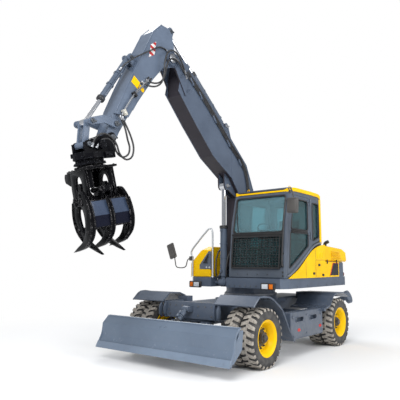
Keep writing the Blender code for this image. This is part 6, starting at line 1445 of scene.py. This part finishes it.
for y, z in ((-1.96, 3.195), (-1.82, 3.045)):
    add_turning(valve, [(0, 0.020), (0.016, 0.020), (0.018, 0.014), (0.018, -0.02), (0, -0.02)], 6,
                stood(laid(-0.125, y, z), (1, 0.3, 0.2)))
piece("rotator_motor_and_valves", valve, tool_black, "tool")

# Log grapple: a black welded frame under the rotator, with an arch cut in each side plate. Its
# near claw has three thick tines with shell plates between, and the far one two tines on tubes.
claw_black = enamel("claw_black", (0.005, 0.005, 0.006), (0.003, 0.003, 0.004), rough=0.20, dust=0.0, dust_top=4.0,
                    gloss=0.025)
# Painted highlight: pale edges on the black claw paint stand for the light caught along the rims of the grapple's
# frame, barrel and tines.
edge_wear_and_highlight(claw_black, (0.36, 0.35, 0.36), 0.006, 0.46, 0.66)
# Painted light and shade: the bent shell plate gets two copies of one enamel, a lighter, glossier blue on its upper
# face as a painted sheen and a near-black navy on its lower face as painted shade.
shell_painted_light = enamel("shell_plate_painted_light", (0.040, 0.058, 0.100), (0.028, 0.042, 0.076), rough=0.16, dust=0.01,
                    dust_top=4.0,
                    gloss=0.45)
shell_painted_shade = enamel("shell_plate_painted_shade", (0.010, 0.012, 0.024), (0.007, 0.008, 0.016), rough=0.24, dust=0.0,
                    dust_top=4.0,
                    gloss=0.05)
finish("grapple_barrel", claw_black)
CLAW_Y, CLAW_Z = 0.24, -0.47
TINE_OUT = ((0.23, -0.318), (0.31, -0.325), (0.40, -0.375), (0.50, -0.475), (0.565, -0.64), (0.555, -0.79),
            (0.455, -0.93), (0.21, -1.065), (-0.14, -1.135), (-0.42, -1.175))
TINE_IN = ((-0.17, -1.085), (0.08, -0.995), (0.235, -0.865), (0.30, -0.72), (0.285, -0.60), (0.20, -0.51),
           (0.15, -0.43), (0.17, -0.35))
LEVER = ((0.27, -0.53), (0.36, -0.53), (0.505, -0.375), (0.505, -0.305), (0.43, -0.285), (0.20, -0.425))


def hung(point):
    """A point in the grapple's own axes, X across its plates and Z up to the rotator, as a point in the frame."""
    return GRAPPLE_FRAME @ Vector(point)


def sideways(side):
    """The direction across the grapple's plates."""
    return GRAPPLE_FRAME.to_3x3() @ Vector((side, 0, 0))


def add_plate(shape, outline, low, high, soften=0.005):
    """A plate cut to an outline in Y and Z of the grapple's frame, between two X, with both rims softened."""
    rims = []
    for x in (low, high):
        rims.append([shape.verts.new(hung((x, y, z))) for y, z in outline])
    count = len(outline)
    caps = [shape.faces.new(rims[0][::-1]), shape.faces.new(rims[1])]
    sides = [shape.faces.new((rims[0][k], rims[0][(k + 1) % count], rims[1][(k + 1) % count], rims[1][k]))
             for k in range(count)]
    bmesh.ops.recalc_face_normals(shape, faces=caps + sides)
    edges = list(dict.fromkeys(edge for cap in caps for edge in cap.edges))
    bmesh.ops.bevel(shape, geom=edges, offset=soften, segments=2, affect="EDGES", profile=0.5)


def curved(points, spacing=0.045):
    return [(p.y, p.z) for p in smooth_line([Vector((0, y, z)) for y, z in points], spacing)]


def add_pin(shape, y, z, half, radius):
    """A pin across the grapple with a round cap and a bolt on both ends."""
    cap = 0.012
    for side in (-1, 1):
        spot = hung((side * half, y, z))
        axis = sideways(side)
        add_turning(shape, [(0, cap), (radius * 0.82, cap), (radius, cap * 0.5), (radius, -half), (0, -half)], 24,
                    stood(spot, axis))
        add_bolt(shape, spot + axis * cap * 0.8, axis, radius * 0.30, 0.008)


head = bmesh.new()
add_turning(head, [(0, -0.001), (0.215, -0.001), (0.220, -0.006), (0.220, -0.030), (0, -0.030)], 40, GRAPPLE_FRAME)
add_block(head, hung((0, 0, -0.040)), (0.42, 0.86, 0.028), GRAPPLE_FRAME.to_3x3(), 0.004)
for x, y in [(x, y) for x in (-0.185, 0.185) for y in (-0.38, -0.24, 0.24, 0.38)]:
    add_bolt(head, hung((x, y, -0.026)), GRAPPLE_FRAME.to_3x3() @ Vector((0, 0, 1)), 0.013, 0.011)


def arc_points(y, z, radius, first, last, steps):
    """Pairs of coordinates along an arc, from the first angle to the last, in degrees."""
    return [(y + radius * math.cos(math.radians(first + (last - first) * k / steps)),
             z + radius * math.sin(math.radians(first + (last - first) * k / steps))) for k in range(steps + 1)]


side_plate = ([(-0.315, -0.050), (-0.345, -0.300)] + arc_points(-CLAW_Y, CLAW_Z, 0.088, 190, 320, 8)
              + [(-0.150, -0.400)] + arc_points(0.0, -0.255, 0.135, 195, -15, 14) + [(0.150, -0.400)]
              + arc_points(CLAW_Y, CLAW_Z, 0.088, 220, 350, 8) + [(0.345, -0.300), (0.315, -0.050)])
lug = [(0.300, -0.050)] + arc_points(0.615, -0.115, 0.075, 70, -95, 8) + [(0.45, -0.235), (0.300, -0.235)]
for side in (-1, 1):
    add_plate(head, side_plate, *sorted((side * 0.168, side * 0.200)))
    for end in (-1, 1):
        gusset = [(end * 0.312, -0.050), (end * 0.284, -0.050), (end * 0.316, -0.300), (end * 0.342, -0.300)]
        add_plate(head, gusset, *sorted((side * 0.105, side * 0.172)), 0.003)
add_plate(head, lug, -0.176, -0.136)
add_plate(head, [(-0.02, -0.345), (0.035, -0.335), (0.075, -0.28), (0.05, -0.225), (-0.03, -0.215), (-0.075, -0.26),
                 (-0.30, -0.44), (-0.24, -0.52)], -0.165, -0.135)
for y in (-CLAW_Y, CLAW_Y):
    add_pin(head, y, CLAW_Z, 0.212, 0.062)
for x in (-0.176, 0.176):
    add_turning(head, [(0, 0.030), (0.045, 0.030), (0.055, 0.022), (0.055, -0.03), (0, -0.03)], 24,
                stood(hung((x, -0.005, -0.275)), sideways(x)))
head_frame = piece("grapple_frame", head, claw_black, "rotator", edge=30)
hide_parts("grapple_body")

for which, side, places in (("near", -1, (-0.268, 0.0, 0.268)), ("far", 1, (-0.150, 0.150))):
    claw = bmesh.new()
    tine = [(side * y, z) for y, z in curved(TINE_OUT) + curved(TINE_IN)]
    for x in places:
        add_plate(claw, tine, x - 0.021, x + 0.021, 0.006)
        band = [(side * (y - 0.004), z) for y, z in curved(TINE_OUT[3:8])]
        inner = [(side * (y - 0.018), z) for y, z in curved(TINE_OUT[3:8])]
        add_plate(claw, band + inner[::-1], x - 0.034, x + 0.034, 0.003)
        for y, z in ((0.24, -0.385), (0.375, -0.87)):
            for face in (-1, 1):
                add_turning(claw, [(0, 0.016), (0.022, 0.016), (0.028, 0.010), (0.028, 0.0)], 16,
                            stood(hung((x + face * 0.020, side * y, z)), sideways(face)))
    half = places[-1] + 0.030
    hub = hung((-half, side * CLAW_Y, CLAW_Z))
    add_pipe(claw, [hub, hung((half, side * CLAW_Y, CLAW_Z))], 0.055, 28)
    add_pin(claw, side * CLAW_Y, CLAW_Z, half, 0.050)
    lever = [(side * y, z) for y, z in LEVER]
    for face in (-1, 1):
        add_plate(claw, lever, *sorted((face * 0.0405, face * 0.068)))
    add_pin(claw, side * 0.46, -0.33, 0.070, 0.030)
    if which == "near":
        bend = [(side * (y - 0.020), z) for y, z in ((0.470, -0.465), (0.566, -0.660), (0.552, -0.815))]
        # The upper face of the bend gets the painted sheen, the lower face the painted shade.
        for part, paint in ((0, shell_painted_light), (1, shell_painted_shade)):
            shell = bmesh.new()
            front = bend[part:part + 2]
            back = [(y - side * 0.014, z) for y, z in front]
            for first, last in zip(places, places[1:]):
                add_plate(shell, front + back[::-1], first + 0.015, last - 0.015, 0.002)
            piece(("claw_shell_upper", "claw_shell_lower")[part], shell, paint, "claw_near", edge=30)
        for first, last in zip(places, places[1:]):
            for y, z in (bend[0], bend[2]):
                add_pipe(claw, [hung((first + 0.02, y, z)), hung((last - 0.02, y, z))], 0.010, 8)
    else:
        for y, z, radius in ((0.375, -0.87, 0.030), (0.42, -0.56, 0.026)):
            add_pipe(claw, [hung((x, side * y, z)) for x in (places[0], places[-1])], radius, 20)
    made = piece("claw_" + which + "_tines", claw, claw_black, "claw_" + which, edge=30)
    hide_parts("claw_" + which)
